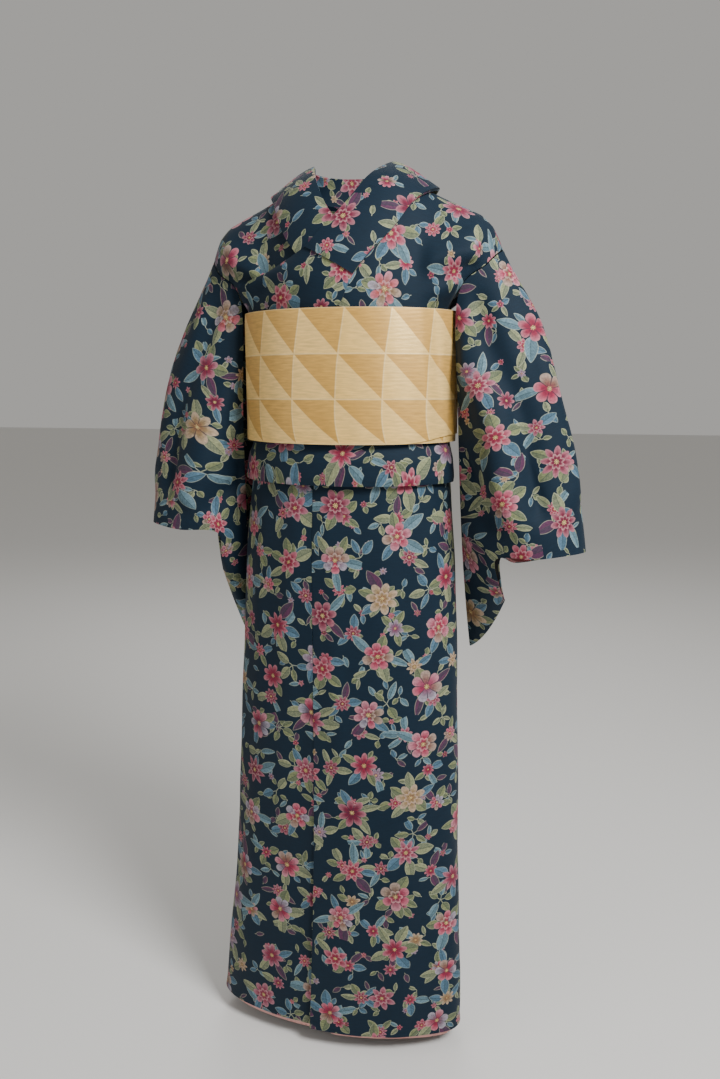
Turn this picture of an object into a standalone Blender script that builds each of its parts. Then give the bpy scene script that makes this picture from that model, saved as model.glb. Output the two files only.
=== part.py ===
"""Kimono in its worn form, wrapped left over right and held by a two-turn obi.

Metres, +Z up. The front faces -Y and the wearer's left is +X. The origin lies
on the body's axis at the height of the shoulders. Every piece of cloth is a
thin wall over one torso form; angles run round the body from the front centre,
positive towards the wearer's left, 180 at the centre back.
"""

import math

import bmesh
import bpy
from mathutils import Vector

COLLECTION = "kimono"

CLOTH = 0.0015
COLLAR_CLOTH = 0.0024
OBI_CLOTH = 0.0018
OBI_TURN = 0.0024
LAYER = 0.0026
CROSSING = 0.0065
COLLAR_GAP = 0.0020
SEAM = 0.0003

HEM_HEIGHT = -1.130
UNDER_HEM_HEIGHT = -1.137
SKIRT_TOP = -0.262
TUCK_BOTTOM = -0.327
TUCK_END = -0.298
CHEST_HEIGHT = -0.100
OBI_TOP = -0.103
OBI_BOTTOM = -0.272
OKUMI_SEAM_X = 0.027
SIDE_SEAM = 96.0
FRONT_EDGE = 84.0
UNDER_EDGE = 70.0
OBI_FRONT_GAP = 0.0128
OBI_BACK_GAP = 0.0056
SLEEVE_SPREAD = 0.011
SLEEVE_DROP = 0.010
TIP_DROP = 0.013
SLEEVE_COLUMNS = 40
SLEEVE_ROWS = 9
CUFF_COLUMNS = 28

# Inner face of the cloth round the body: height, half width, front, back, shift.
SECTIONS = (
    (-0.100, 0.1305, 0.0960, 0.1000, -0.001),
    (-0.190, 0.1295, 0.0950, 0.0990, -0.001),
    (-0.270, 0.1305, 0.0930, 0.1010, -0.001),
    (-0.340, 0.1390, 0.0900, 0.1080, -0.003),
    (-0.440, 0.1480, 0.0900, 0.1150, -0.005),
    (-0.600, 0.1540, 0.0860, 0.1120, -0.006),
    (-0.820, 0.1620, 0.0760, 0.1040, -0.009),
    (-1.000, 0.1720, 0.0680, 0.0980, -0.014),
    (-1.150, 0.1820, 0.0620, 0.0940, -0.020),
)

# Line of the shoulders: distance from the axis, height.
SHOULDER = (
    (0.000, 0.072),
    (0.060, 0.066),
    (0.112, 0.045),
    (0.150, 0.027),
    (0.175, 0.014),
    (0.190, 0.000),
    (0.200, -0.018),
    (0.207, -0.036),
)
SHOULDER_REACH = 0.205
SHOULDER_Y = 0.004

# Front edge of a body panel above the obi: arch, share of the half width.
NECKLINE = (
    (0.00, 0.030),
    (0.14, 0.095),
    (0.38, 0.315),
    (0.70, 0.440),
    (1.00, 0.500),
)

# Top edge of a body panel behind the neck: arch, share of the half width.
BACK_NECKLINE = (
    (0.62, 0.0),
    (0.72, 0.260),
    (0.84, 0.390),
    (1.00, 0.500),
)
NAPE_STAND = 0.0078

# Heights of the skirt's rows between its top and its hem.
SKIRT_ROWS = (-0.285, -0.310, -0.345, -0.400, -0.490, -0.610, -0.740, -0.870, -1.000)

# Heights of a body panel's rows above its tuck, front then back.
BODICE_FRONT = (-0.250, -0.230, -0.210, -0.190, -0.170, -0.150, -0.125, -0.101)
BODICE_BACK = (-0.230, -0.190, -0.150, -0.125, -0.101)

# Folds of the skirt's front: height, depth of the gore's step.
GORE_STEP = (
    (-0.500, 0.0),
    (-0.700, 0.0010),
    (-0.900, 0.0040),
    (-1.150, 0.0090),
)

# Collar from its end under the obi to the shoulder: outer edge and inner edge
# as shares of the half width and arch, negative arch in metres below it.
COLLAR_FRONT = (
    # outer share, outer arch, inner share, inner arch, inner rise
    (-0.170, -0.0250, -0.840, -0.0250, 0.000),
    (-0.020, -0.0100, -0.815, -0.0020, 0.000),
    (0.060, 0.0100, -0.730, 0.1000, 0.000),
    (0.095, 0.0700, -0.430, 0.1900, 0.000),
    (0.133, 0.1320, -0.165, 0.2700, 0.000),
    (0.210, 0.2200, -0.080, 0.3400, 0.000),
    (0.355, 0.3840, 0.060, 0.4900, 0.001),
    (0.460, 0.6200, 0.170, 0.6900, 0.006),
    (0.541, 1.0000, 0.255, 1.0000, 0.015),
)

# Collar behind the shoulder: outer edge, then inner edge.
COLLAR_BACK = (
    ((0.100, 0.035, 0.0475), (0.060, 0.030, 0.0860)),
    ((0.072, 0.065, 0.0399), (0.052, 0.058, 0.0880)),
    ((0.038, 0.0818, 0.0340), (0.030, 0.081, 0.0900)),
    ((0.000, 0.0868, 0.0330), (0.000, 0.088, 0.0905)),
)
OVER_COLLAR_START = 4

# Sleeve bag: share of the way round from its top fold to its bottom seam, the
# point on the armhole side, the point on the cuff side, the swell between them.
SLEEVE = (
    (-1.00, (0.163, 0.034, -0.577), (0.2040, -0.0120, -0.4740), (0.000, 0.004, -0.012)),
    (-0.90, (0.162, 0.052, -0.515), (0.2000, -0.0300, -0.4470), (0.002, 0.014, -0.004)),
    (-0.75, (0.157, 0.060, -0.400), (0.1990, -0.0370, -0.4125), (0.004, 0.026, 0.000)),
    (-0.50, (0.152, 0.058, -0.235), (0.2140, 0.0300, -0.4300), (0.006, 0.030, 0.000)),
    (-0.25, (0.149, 0.043, -0.090), (0.2480, 0.0560, -0.4280), (0.008, 0.030, 0.000)),
    (-0.10, (0.182, 0.030, -0.046), (0.2760, 0.0460, -0.4160), (0.018, 0.020, 0.000)),
    (0.00, (0.199, 0.003, -0.026), (0.2960, 0.0220, -0.4080), (0.024, 0.006, 0.000)),
    (0.10, (0.182, -0.027, -0.046), (0.3070, -0.0140, -0.4030), (0.022, -0.010, 0.000)),
    (0.25, (0.147, -0.035, -0.088), (0.2900, -0.0500, -0.4020), (0.008, -0.016, 0.000)),
    (0.50, (0.150, -0.030, -0.235), (0.2460, -0.0660, -0.4070), (0.000, -0.014, 0.000)),
    (0.75, (0.155, -0.012, -0.400), (0.1960, -0.0510, -0.4110), (0.000, -0.008, 0.000)),
    (0.90, (0.160, 0.010, -0.510), (0.1980, -0.0340, -0.4480), (0.000, -0.004, -0.004)),
    (1.00, (0.163, 0.034, -0.577), (0.2040, -0.0120, -0.4740), (0.000, 0.004, -0.012)),
)

COLOURS = {
    "print": (0.016, 0.048, 0.075, 1.0),
    "lining": (0.55, 0.22, 0.25, 1.0),
    "obi": (0.52, 0.33, 0.13, 1.0),
}


def smooth(value):
    value = min(1.0, max(0.0, value))
    return value * value * (3.0 - 2.0 * value)


def blend(low, high, share):
    return low + (high - low) * share


def curve(points, position):
    """Point at a position, counted in points, on a smooth curve through points."""
    last = len(points) - 1
    index = min(last - 1, max(0, int(position)))
    share = position - index
    start = points[index]
    end = points[index + 1]
    before = points[index - 1] if index > 0 else start * 2.0 - end
    after = points[index + 2] if index + 2 <= last else end * 2.0 - start
    lean_start = (end - before) * 0.5
    lean_end = (after - start) * 0.5
    square = share * share
    cube = square * share
    return (
        start * (2.0 * cube - 3.0 * square + 1.0)
        + lean_start * (cube - 2.0 * square + share)
        + end * (3.0 * square - 2.0 * cube)
        + lean_end * (cube - square)
    )


def lookup(rows, key):
    """Smoothed values of a table's other columns at a value of its first."""
    order = rows if rows[0][0] < rows[-1][0] else rows[::-1]
    key = min(order[-1][0], max(order[0][0], key))
    index = 0
    while index < len(order) - 2 and key > order[index + 1][0]:
        index += 1
    share = (key - order[index][0]) / (order[index + 1][0] - order[index][0])
    found = []
    for column in range(1, len(order[0])):
        values = [row[column] for row in order]
        found.append(curve(values, index + share))
    return found


def torso_base(angle, level):
    """Point of the torso form: level in metres below the chest, arch above it."""
    turn = math.radians(angle)
    height = CHEST_HEIGHT + min(level, 0.0)
    half, front, back, shift = lookup(SECTIONS, height)
    depth = front if abs(angle) <= 90.0 else back
    low = Vector((half * math.sin(turn) + shift, -depth * math.cos(turn), height))
    if level <= 0.0:
        return low
    share = angle / 90.0
    if abs(angle) > 90.0:
        share = math.copysign((180.0 - abs(angle)) / 90.0, angle)
    reach = SHOULDER_REACH * share
    top = lookup(SHOULDER, abs(reach))[0]
    rise = math.sin(level * math.pi / 2.0)
    fall = max(0.0, math.cos(level * math.pi / 2.0))
    if abs(angle) > 90.0:
        fall = fall ** 0.6
    return Vector((
        blend(low.x, reach, level * level),
        blend(SHOULDER_Y, low.y, fall),
        blend(low.z, top, rise),
    ))


def torso(angle, level, out):
    """Point of the torso form moved out by a distance along its normal."""
    point = torso_base(angle, level)
    step = 0.5
    side = torso_base(angle + step, level) - torso_base(angle - step, level)
    if level > 0.0:
        low = max(0.0, level - 0.01)
        high = min(1.0, level + 0.01)
    else:
        low = level - 0.01
        high = min(0.0, level + 0.01)
    rise = torso_base(angle, high) - torso_base(angle, low)
    normal = side.cross(rise)
    if normal.length < 1e-9:
        normal = Vector((0.0, 0.0, 1.0))
    return point + normal.normalized() * out


def share_angle(share, side):
    return 90.0 * share * side


def sleeve_row(index, along):
    share, armhole, cuff, swell = SLEEVE[index]
    arch = 4.0 * along * (1.0 - along)
    return Vector(armhole).lerp(Vector(cuff), along) + Vector(swell) * arch


def sleeve_point(around, along, side):
    """Point of a sleeve: share round it from the top fold, share of its width."""
    index = 0
    while index < len(SLEEVE) - 2 and around > SLEEVE[index + 1][0]:
        index += 1
    start = SLEEVE[index][0]
    share = (around - start) / (SLEEVE[index + 1][0] - start)
    rows = [sleeve_row(number, along) for number in range(len(SLEEVE))]
    point = curve(rows, index + share)
    point.x += SLEEVE_SPREAD * side * along
    point.z -= SLEEVE_DROP * side * along
    point.z += TIP_DROP * side * (1.0 - along) * smooth((abs(around) - 0.5) / 0.5)
    point.x *= side
    return point


def wall(name, columns, rows, place, thickness, material, side=0.0, tube=False):
    """Closed wall of cloth on a grid whose shares of width and length are placed."""
    mesh = bpy.data.meshes.new(name)
    body = bmesh.new()
    bmesh.ops.create_grid(body, x_segments=columns, y_segments=rows, size=0.5)
    for vertex in body.verts:
        vertex.co = place(vertex.co.x + 0.5, vertex.co.y + 0.5)
    if tube:
        bmesh.ops.remove_doubles(body, verts=body.verts, dist=0.00005)
    bmesh.ops.triangulate(body, faces=body.faces, quad_method="SHORT_EDGE")
    bmesh.ops.recalc_face_normals(body, faces=body.faces)
    body.to_mesh(mesh)
    body.free()
    piece = bpy.data.objects.new(name, mesh)
    bpy.data.collections[COLLECTION].objects.link(piece)
    mesh.materials.append(material)
    shell = piece.modifiers.new("wall", "SOLIDIFY")
    shell.thickness = thickness
    shell.offset = side
    shell.use_even_offset = False
    return piece


def make_material(name):
    material = bpy.data.materials.new(name)
    material.use_nodes = True
    shader = material.node_tree.nodes["Principled BSDF"]
    shader.inputs["Base Color"].default_value = COLOURS[name.split("_")[0]]
    shader.inputs["Roughness"].default_value = 0.75
    return material


def gore_seam_angle(height, side):
    half = lookup(SECTIONS, height)[0]
    return -side * math.degrees(math.asin(OKUMI_SEAM_X / half))


def skirt_out(angle, height, side, over):
    """Distance of a skirt panel from the torso form."""
    if not over:
        return 0.0
    layers = 1.0 + 0.9 * smooth((-height - 0.90) / 0.18)
    out = LAYER * layers * smooth((SIDE_SEAM - side * angle) / 30.0)
    return out + gore_step(angle, height, side)


def gore_step(angle, height, side):
    """Distance that the front panel stands in front of the gore beside it."""
    near = side * (angle - gore_seam_angle(height, side))
    if near <= 0.0:
        return 0.0
    return lookup(GORE_STEP, height)[0] * (1.0 - smooth(near / 75.0))


def skirt_panel(name, from_angle, to_angle, hem, side, over, material):
    """Skirt panel between two angles, each a number or a function of height."""
    columns = 12
    heights = (SKIRT_TOP,) + SKIRT_ROWS + (hem,)
    rows = len(heights) - 1

    def place(across, down):
        height = heights[round(down * rows)]
        start = from_angle(height) if callable(from_angle) else from_angle
        end = to_angle(height) if callable(to_angle) else to_angle
        half = lookup(SECTIONS, height)[0]
        pull = math.degrees(SEAM / half)
        start += math.copysign(pull, end - start)
        end -= math.copysign(pull, end - start)
        angle = blend(start, end, across)
        out = skirt_out(angle, height, side, over) + CLOTH / 2.0
        return torso(angle, height - CHEST_HEIGHT, out)

    return wall(name, columns, rows, place, CLOTH, material)


def bodice_out(angle, level, side, folded_in):
    """Distance of a bodice from the torso form, over the layers that lie below it."""
    left = side > 0.0
    front = smooth((SIDE_SEAM - side * angle) / (25.0 if left else 14.0))
    if abs(angle) >= SIDE_SEAM:
        front = 0.0
    tuck = blend(1.0, 4.0 if left else 2.0, front) + (0.0 if folded_in else 1.0)
    belt = blend(1.0, 3.0 if left else 2.0, front)
    layers = blend(tuck, belt, smooth((level + 0.196) / 0.023))
    return blend(layers * LAYER, chest_out(angle, level, side), smooth((level + 0.135) / 0.05))


def chest_out(angle, level, side):
    """Rise of the left bodice over the right one and its collar."""
    if side < 0.0 or abs(angle) >= 90.0:
        return 0.0
    return CROSSING * smooth((88.0 - angle) / 14.0) * smooth((1.0 - max(level, 0.0)) / 0.5)


def armhole_pull(angle, level, side, facing):
    """Shift of a body panel near its armhole, out to where the sleeve is sewn."""
    reach = smooth(1.0 - abs(90.0 - side * angle) / 45.0) * min(1.0, max(0.0, level / 0.06))
    if level <= 0.0 or reach == 0.0:
        return Vector((0.0, 0.0, 0.0))
    outer = (90.0 - 0.25 * facing) * side
    rim = torso(outer, level, chest_out(outer, level, side) + CLOTH / 2.0)
    around = blend(0.25, 0.008, min(1.0, level) ** 0.8) * facing
    return (sleeve_point(around, 0.0, side) - rim) * reach


def panel_edge(level, side):
    """Angle of a body panel's front edge at a level."""
    if level >= 0.0:
        return share_angle(lookup(NECKLINE, level)[0], side)
    edge = FRONT_EDGE if side > 0.0 else UNDER_EDGE
    deep = min(1.0, max(0.0, (-level - 0.010) / 0.140))
    return blend(share_angle(NECKLINE[0][1], side), -edge * side, deep)


def bodice(name, side, material):
    """Body panel from the waist tuck over the shoulder and down the back."""
    columns = 14
    tuck = (TUCK_END, -0.314, TUCK_BOTTOM, -0.314, -0.298, -0.272)
    front = (0.06, 0.15, 0.25, 0.36, 0.50, 0.66, 0.83, 1.0)
    back = (0.84, 0.72, 0.62, 0.50, 0.36, 0.25, 0.15, 0.06)
    stations = [(1.0, height - CHEST_HEIGHT) for height in tuck + BODICE_FRONT]
    stations += [(1.0, arch) for arch in front]
    stations += [(-1.0, arch) for arch in back]
    stations += [(-1.0, height - CHEST_HEIGHT) for height in (tuck + BODICE_BACK)[::-1]]
    fold = 2
    last = len(stations) - 1

    def place(across, down):
        row = round(down * last)
        facing, level = stations[row]
        folded_in = row < fold or row > last - fold
        outer = (blend(90.0, SIDE_SEAM, min(1.0, max(0.0, -level / 0.05))) - 0.25 * facing) * side
        if facing > 0.0:
            inner = panel_edge(level, side)
        else:
            inner = (179.85 - share_angle(lookup(BACK_NECKLINE, level)[0], 1.0)) * side
        angle = blend(outer, inner, across)
        out = bodice_out(angle, level, side, folded_in) + CLOTH / 2.0
        if row in (fold, last - fold):
            out -= LAYER / 2.0
        point = torso(angle, level, out) + armhole_pull(angle, level, side, facing)
        near = smooth(1.0 - (180.0 - abs(angle)) / 60.0)
        point.y += NAPE_STAND * near * smooth((level - 0.2) / 0.4)
        return point

    return wall(name, columns, last, place, CLOTH, material)


def collar_station(index, across, side):
    """Point of the collar at a station of its path and a share of its width."""
    if index >= len(COLLAR_FRONT):
        outer, inner = COLLAR_BACK[index - len(COLLAR_FRONT)]
        point = Vector(outer).lerp(Vector(inner), across)
        point.x *= side
        return point
    outer, outer_arch, inner, inner_arch, rise = COLLAR_FRONT[index]
    angle = share_angle(blend(outer, inner, across), side)
    level = blend(outer_arch, inner_arch, across)
    out = CLOTH + COLLAR_GAP + COLLAR_CLOTH / 2.0
    if side > 0.0:
        high = smooth((angle + 56.0) / 26.0)
        low = smooth((angle + 24.0) / 22.0)
        out += chest_out(angle, level, side) * blend(low, high, smooth(level / 0.12))
    out += 0.0064 * smooth((abs(angle) - 38.0) / 28.0) + 0.0008 * smooth((level - 0.4) / 0.4)
    point = torso(angle, level, out) + armhole_pull(angle, level, math.copysign(1.0, angle), 1.0)
    point.z += rise * across
    return point


def collar_band(name, start, lift, thickness, material):
    """Band of collar cloth, cut short on the right where the left half covers it."""
    half = len(COLLAR_FRONT) + len(COLLAR_BACK) - 1
    order = [(index, 1.0) for index in range(half + 1)]
    order += [(index, -1.0) for index in range(half - 1, -1, -1)]
    end = len(order) - 1 - OVER_COLLAR_START
    columns = 4
    rows = (end - start) * 2

    def spot(position, across):
        points = [collar_station(index, across, side) for index, side in order]
        return curve(points, position)

    def place(across, down):
        position = blend(start, end, down)
        point = spot(position, across)
        ahead = spot(min(len(order) - 1.0, position + 0.1), across)
        behind = spot(max(0.0, position - 0.1), across)
        inward = spot(position, min(1.0, across + 0.05)) - spot(position, max(0.0, across - 0.05))
        normal = (ahead - behind).cross(inward).normalized()
        bow = 0.0010 * math.sin(math.pi * across)
        return point + normal * (bow + lift)

    return wall(name, columns, rows, place, thickness, material)


def obi_belt(name, material):
    """Belt of two turns, one over the other, with its ends at the back."""
    turns = 2.05
    columns = 80
    rows = 4
    start = 172.0

    def place(along, down):
        angle = start - 360.0 * turns * along
        wrapped = (angle + 180.0) % 360.0 - 180.0
        height = blend(OBI_TOP, OBI_BOTTOM, down)
        gap = blend(OBI_BACK_GAP, OBI_FRONT_GAP, smooth((98.0 - abs(wrapped)) / 14.0))
        out = gap + OBI_CLOTH / 2.0 + OBI_TURN * along * turns
        point = torso(wrapped, height - CHEST_HEIGHT, out)
        outer_turn = smooth((along * turns - 0.95) / 0.1)
        rise = smooth((wrapped - 35.0) / 45.0) * smooth((150.0 - wrapped) / 40.0)
        point.z += 0.010 * outer_turn * rise * down
        return point

    return wall(name, columns, rows, place, OBI_CLOTH, material)


def sleeve(name, side, material):
    """Sleeve bag, open at the armhole, down its body side and at the cuff."""
    def place(around, along):
        return sleeve_point(blend(-1.0, 1.0, around), blend(0.004, 1.0, along), side)

    return wall(name, SLEEVE_COLUMNS, SLEEVE_ROWS, place, CLOTH, material, tube=True)


def cuff_lining(name, side, material):
    """Lining that shows inside the cuff opening."""
    reach = CUFF_COLUMNS / SLEEVE_COLUMNS
    inner = 1.0 - 1.0 / SLEEVE_ROWS

    def place(around, along):
        turn = blend(-reach, reach, around)
        share = blend(inner, 0.998, along)
        point = sleeve_point(turn, share, side)
        inward = sleeve_point(turn + 0.01, share, side) - sleeve_point(turn - 0.01, share, side)
        deeper = sleeve_point(turn, share, side) - sleeve_point(turn, share - 0.02, side)
        return point + deeper.cross(inward).normalized() * LAYER * 0.85 * side

    return wall(name, CUFF_COLUMNS, 1, place, CLOTH * 0.8, material)


def hem_lining(name, material):
    """Lining strip inside the hem, from the over gore round to the under gore."""
    columns = 84
    rows = 2
    start = -FRONT_EDGE + 1.0
    end = UNDER_EDGE - 1.0

    def place(along, down):
        turn = blend(start, 360.0 + end, along)
        angle = (turn + 180.0) % 360.0 - 180.0
        over = turn <= SIDE_SEAM
        under = smooth((turn - 200.0) / 60.0)
        bottom = blend(HEM_HEIGHT - 0.003, UNDER_HEM_HEIGHT - 0.004, under)
        height = blend(bottom + 0.030, bottom, down)
        out = skirt_out(angle, height, 1.0, True) if over else 0.0
        if over:
            near = angle - gore_seam_angle(height, 1.0)
            out -= gore_step(angle, height, 1.0) * (1.0 - smooth((near - 6.5) / 5.0))
        return torso(angle, height - CHEST_HEIGHT, out - CLOTH * 1.2)

    return wall(name, columns, rows, place, CLOTH * 0.8, material)


def main():
    for old in list(bpy.data.objects):
        bpy.data.objects.remove(old)
    group = bpy.data.collections.new(COLLECTION)
    bpy.context.scene.collection.children.link(group)

    def left_seam(height):
        return gore_seam_angle(height, 1.0)

    def right_seam(height):
        return gore_seam_angle(height, -1.0)

    panels = (
        ("skirt_back_left", 180.0, SIDE_SEAM, HEM_HEIGHT, 1.0, False),
        ("skirt_back_right", -180.0, -SIDE_SEAM, HEM_HEIGHT, -1.0, False),
        ("skirt_front_right", -SIDE_SEAM, right_seam, UNDER_HEM_HEIGHT, -1.0, False),
        ("okumi_right", right_seam, UNDER_EDGE, UNDER_HEM_HEIGHT, -1.0, False),
        ("skirt_front_left", SIDE_SEAM, left_seam, HEM_HEIGHT, 1.0, True),
        ("okumi_left", left_seam, -FRONT_EDGE, HEM_HEIGHT, 1.0, True),
    )
    for name, start, end, hem, side, over in panels:
        skirt_panel(name, start, end, hem, side, over, make_material("print_" + name))

    bodice("bodice_left", 1.0, make_material("print_bodice_left"))
    bodice("bodice_right", -1.0, make_material("print_bodice_right"))

    collar_band("collar", 0, 0.0, COLLAR_CLOTH, make_material("print_collar"))
    cover = (COLLAR_CLOTH + CLOTH) / 2.0 + 2.0 * SEAM
    material = make_material("print_over_collar")
    collar_band("over_collar", OVER_COLLAR_START, cover, CLOTH, material)

    for side, word in ((1.0, "left"), (-1.0, "right")):
        sleeve("sleeve_" + word, side, make_material("print_sleeve_" + word))
        cuff_lining("cuff_lining_" + word, side, make_material("lining_cuff_" + word))

    hem_lining("hem_lining", make_material("lining_hem"))
    obi_belt("obi", make_material("obi_cloth"))


main()
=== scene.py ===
"""Looks of a worn kimono: printed cloth, its linings and its broad woven belt.

Every piece is a thin shell of cloth on the form that its CAD solid has, with
its creases listed in a table. Angles run round the body from the front centre,
positive towards the wearer's left; cloth is measured in metres.
"""

import math

import bmesh
import bpy
import numpy as np
from bpy.props import FloatProperty, FloatVectorProperty, PointerProperty
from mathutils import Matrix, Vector


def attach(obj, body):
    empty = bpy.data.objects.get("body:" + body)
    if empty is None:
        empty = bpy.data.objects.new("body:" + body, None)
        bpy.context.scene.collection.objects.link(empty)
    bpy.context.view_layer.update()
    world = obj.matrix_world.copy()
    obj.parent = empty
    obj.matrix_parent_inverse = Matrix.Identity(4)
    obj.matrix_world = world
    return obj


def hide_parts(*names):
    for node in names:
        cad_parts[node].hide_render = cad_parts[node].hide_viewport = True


bl_info = {
    "name": "Kimono",
    "version": (1, 0, 0),
    "blender": (4, 5, 0),
    "location": "View3D > Sidebar > Kimono",
    "description": "Dresses the worn kimono in printed cloth and ties its belt",
    "category": "Object",
}

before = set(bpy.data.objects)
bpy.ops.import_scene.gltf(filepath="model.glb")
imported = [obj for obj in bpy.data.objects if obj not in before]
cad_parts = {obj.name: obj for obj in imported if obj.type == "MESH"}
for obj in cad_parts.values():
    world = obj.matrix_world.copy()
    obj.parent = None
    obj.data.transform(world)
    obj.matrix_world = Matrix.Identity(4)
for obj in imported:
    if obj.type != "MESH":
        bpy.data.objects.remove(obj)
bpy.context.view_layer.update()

CLOTH = 0.0015
COLLAR_CLOTH = 0.0024
OBI_CLOTH = 0.0018
OBI_TURN = 0.0024
LAYER = 0.0026
CROSSING = 0.0065
COLLAR_GAP = 0.0020
SEAM = 0.0003

HEM_HEIGHT = -1.130
UNDER_HEM_HEIGHT = -1.137
SKIRT_TOP = -0.262
TUCK_BOTTOM = -0.327
TUCK_END = -0.298
CHEST_HEIGHT = -0.100
OBI_TOP = -0.103
OBI_BOTTOM = -0.272
OKUMI_SEAM_X = 0.027
SIDE_SEAM = 96.0
FRONT_EDGE = 84.0
UNDER_EDGE = 70.0
OBI_FRONT_GAP = 0.0128
OBI_BACK_GAP = 0.0056
OBI_TURNS = 2.05
OBI_START = 172.0
SLEEVE_SPREAD = 0.011
SLEEVE_DROP = 0.010
TIP_DROP = 0.013
NAPE_STAND = 0.0078
NAPE_FADE = 60.0
CENTRE_BACK = 179.94
SHOULDER_REACH = 0.205
SHOULDER_Y = 0.004
OVER_COLLAR_START = 4
FLOOR = -1.160
CAMERA_PLACE = (0.3265, -1.2067, -0.206)
CAMERA_YAW = 14.707
CAMERA_TILT = 9.36
LIGHT_TARGET = (0.0, 0.0, -0.4)
SLUB_LOW = 0.3
SLUB_HIGH = 0.7

# Inner face of the cloth round the body: height, half width, front, back, shift.
SECTIONS = (
    (-0.100, 0.1305, 0.0960, 0.1000, -0.001),
    (-0.190, 0.1295, 0.0950, 0.0990, -0.001),
    (-0.270, 0.1305, 0.0930, 0.1010, -0.001),
    (-0.340, 0.1390, 0.0900, 0.1080, -0.003),
    (-0.440, 0.1480, 0.0900, 0.1150, -0.005),
    (-0.600, 0.1540, 0.0860, 0.1120, -0.006),
    (-0.820, 0.1620, 0.0760, 0.1040, -0.009),
    (-1.000, 0.1720, 0.0680, 0.0980, -0.014),
    (-1.150, 0.1820, 0.0620, 0.0940, -0.020),
)

# Line of the shoulders: distance from the axis, height.
SHOULDER = (
    (0.000, 0.072),
    (0.060, 0.066),
    (0.112, 0.045),
    (0.150, 0.027),
    (0.175, 0.014),
    (0.190, 0.000),
    (0.200, -0.018),
    (0.207, -0.036),
)

# Front edge of a body panel above the obi: arch, share of the half width.
NECKLINE = (
    (0.00, 0.030),
    (0.14, 0.095),
    (0.38, 0.315),
    (0.70, 0.440),
    (1.00, 0.500),
)

# Top edge of a body panel behind the neck: arch, share of the half width.
BACK_NECKLINE = (
    (0.62, 0.0),
    (0.72, 0.260),
    (0.84, 0.390),
    (1.00, 0.500),
)

# Folds of the skirt's front: height, depth of the gore's step.
GORE_STEP = (
    (-0.500, 0.0),
    (-0.700, 0.0010),
    (-0.900, 0.0040),
    (-1.150, 0.0090),
)

# Collar from its end under the obi to the shoulder: outer share and arch,
# inner share and arch, rise of the inner edge.
COLLAR_FRONT = (
    (-0.170, -0.0250, -0.840, -0.0250, 0.000),
    (-0.020, -0.0100, -0.815, -0.0020, 0.000),
    (0.060, 0.0100, -0.730, 0.1000, 0.000),
    (0.095, 0.0700, -0.430, 0.1900, 0.000),
    (0.133, 0.1320, -0.165, 0.2700, 0.000),
    (0.210, 0.2200, -0.080, 0.3400, 0.000),
    (0.355, 0.3840, 0.060, 0.4900, 0.001),
    (0.460, 0.6200, 0.170, 0.6900, 0.006),
    (0.541, 1.0000, 0.255, 1.0000, 0.015),
)

# Collar behind the shoulder: outer edge, then inner edge.
COLLAR_BACK = (
    ((0.100, 0.035, 0.0475), (0.060, 0.030, 0.0860)),
    ((0.072, 0.065, 0.0399), (0.052, 0.058, 0.0880)),
    ((0.038, 0.0818, 0.0340), (0.030, 0.081, 0.0900)),
    ((0.000, 0.0876, 0.0330), (0.000, 0.088, 0.0905)),
)

# Sleeve bag: share of the way round from its top fold to its bottom seam, the
# point on the armhole side, the point on the cuff side, the swell between them.
SLEEVE = (
    (-1.00, (0.163, 0.034, -0.577), (0.2040, -0.0120, -0.4740), (0.000, 0.004, -0.012)),
    (-0.90, (0.162, 0.052, -0.515), (0.2000, -0.0300, -0.4470), (0.002, 0.014, -0.004)),
    (-0.75, (0.157, 0.060, -0.400), (0.1990, -0.0370, -0.4125), (0.004, 0.026, 0.000)),
    (-0.50, (0.152, 0.058, -0.235), (0.2140, 0.0300, -0.4300), (0.006, 0.030, 0.000)),
    (-0.25, (0.149, 0.043, -0.090), (0.2480, 0.0560, -0.4280), (0.008, 0.030, 0.000)),
    (-0.10, (0.182, 0.030, -0.046), (0.2760, 0.0460, -0.4160), (0.018, 0.020, 0.000)),
    (0.00, (0.199, 0.003, -0.026), (0.2960, 0.0220, -0.4080), (0.024, 0.006, 0.000)),
    (0.10, (0.182, -0.027, -0.046), (0.3070, -0.0140, -0.4030), (0.022, -0.010, 0.000)),
    (0.25, (0.147, -0.035, -0.088), (0.2900, -0.0500, -0.4020), (0.008, -0.016, 0.000)),
    (0.50, (0.150, -0.030, -0.235), (0.2460, -0.0660, -0.4070), (0.000, -0.014, 0.000)),
    (0.75, (0.155, -0.012, -0.400), (0.1960, -0.0510, -0.4110), (0.000, -0.008, 0.000)),
    (0.90, (0.160, 0.010, -0.510), (0.1980, -0.0340, -0.4480), (0.000, -0.004, -0.004)),
    (1.00, (0.163, 0.034, -0.577), (0.2040, -0.0120, -0.4740), (0.000, 0.004, -0.012)),
)
SLEEVE_COLUMNS = 40
SLEEVE_ROWS = 9
CUFF_COLUMNS = 28

# Buckles of the belt: angle and half width in degrees, depth in metres, lean in
# degrees.
OBI_BUCKLES = (
    (52.0, 2.2, 0.0012, 7.0),
    (60.0, 2.0, -0.0014, 6.0),
    (66.0, 2.0, 0.0018, 5.0),
    (76.0, 2.4, -0.0016, -6.0),
    (-64.0, 2.6, 0.0014, 6.0),
    (-72.0, 2.6, -0.0014, 7.0),
    (-118.0, 4.0, -0.0010, 3.0),
    (121.0, 3.6, -0.0011, -4.0),
)

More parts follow.
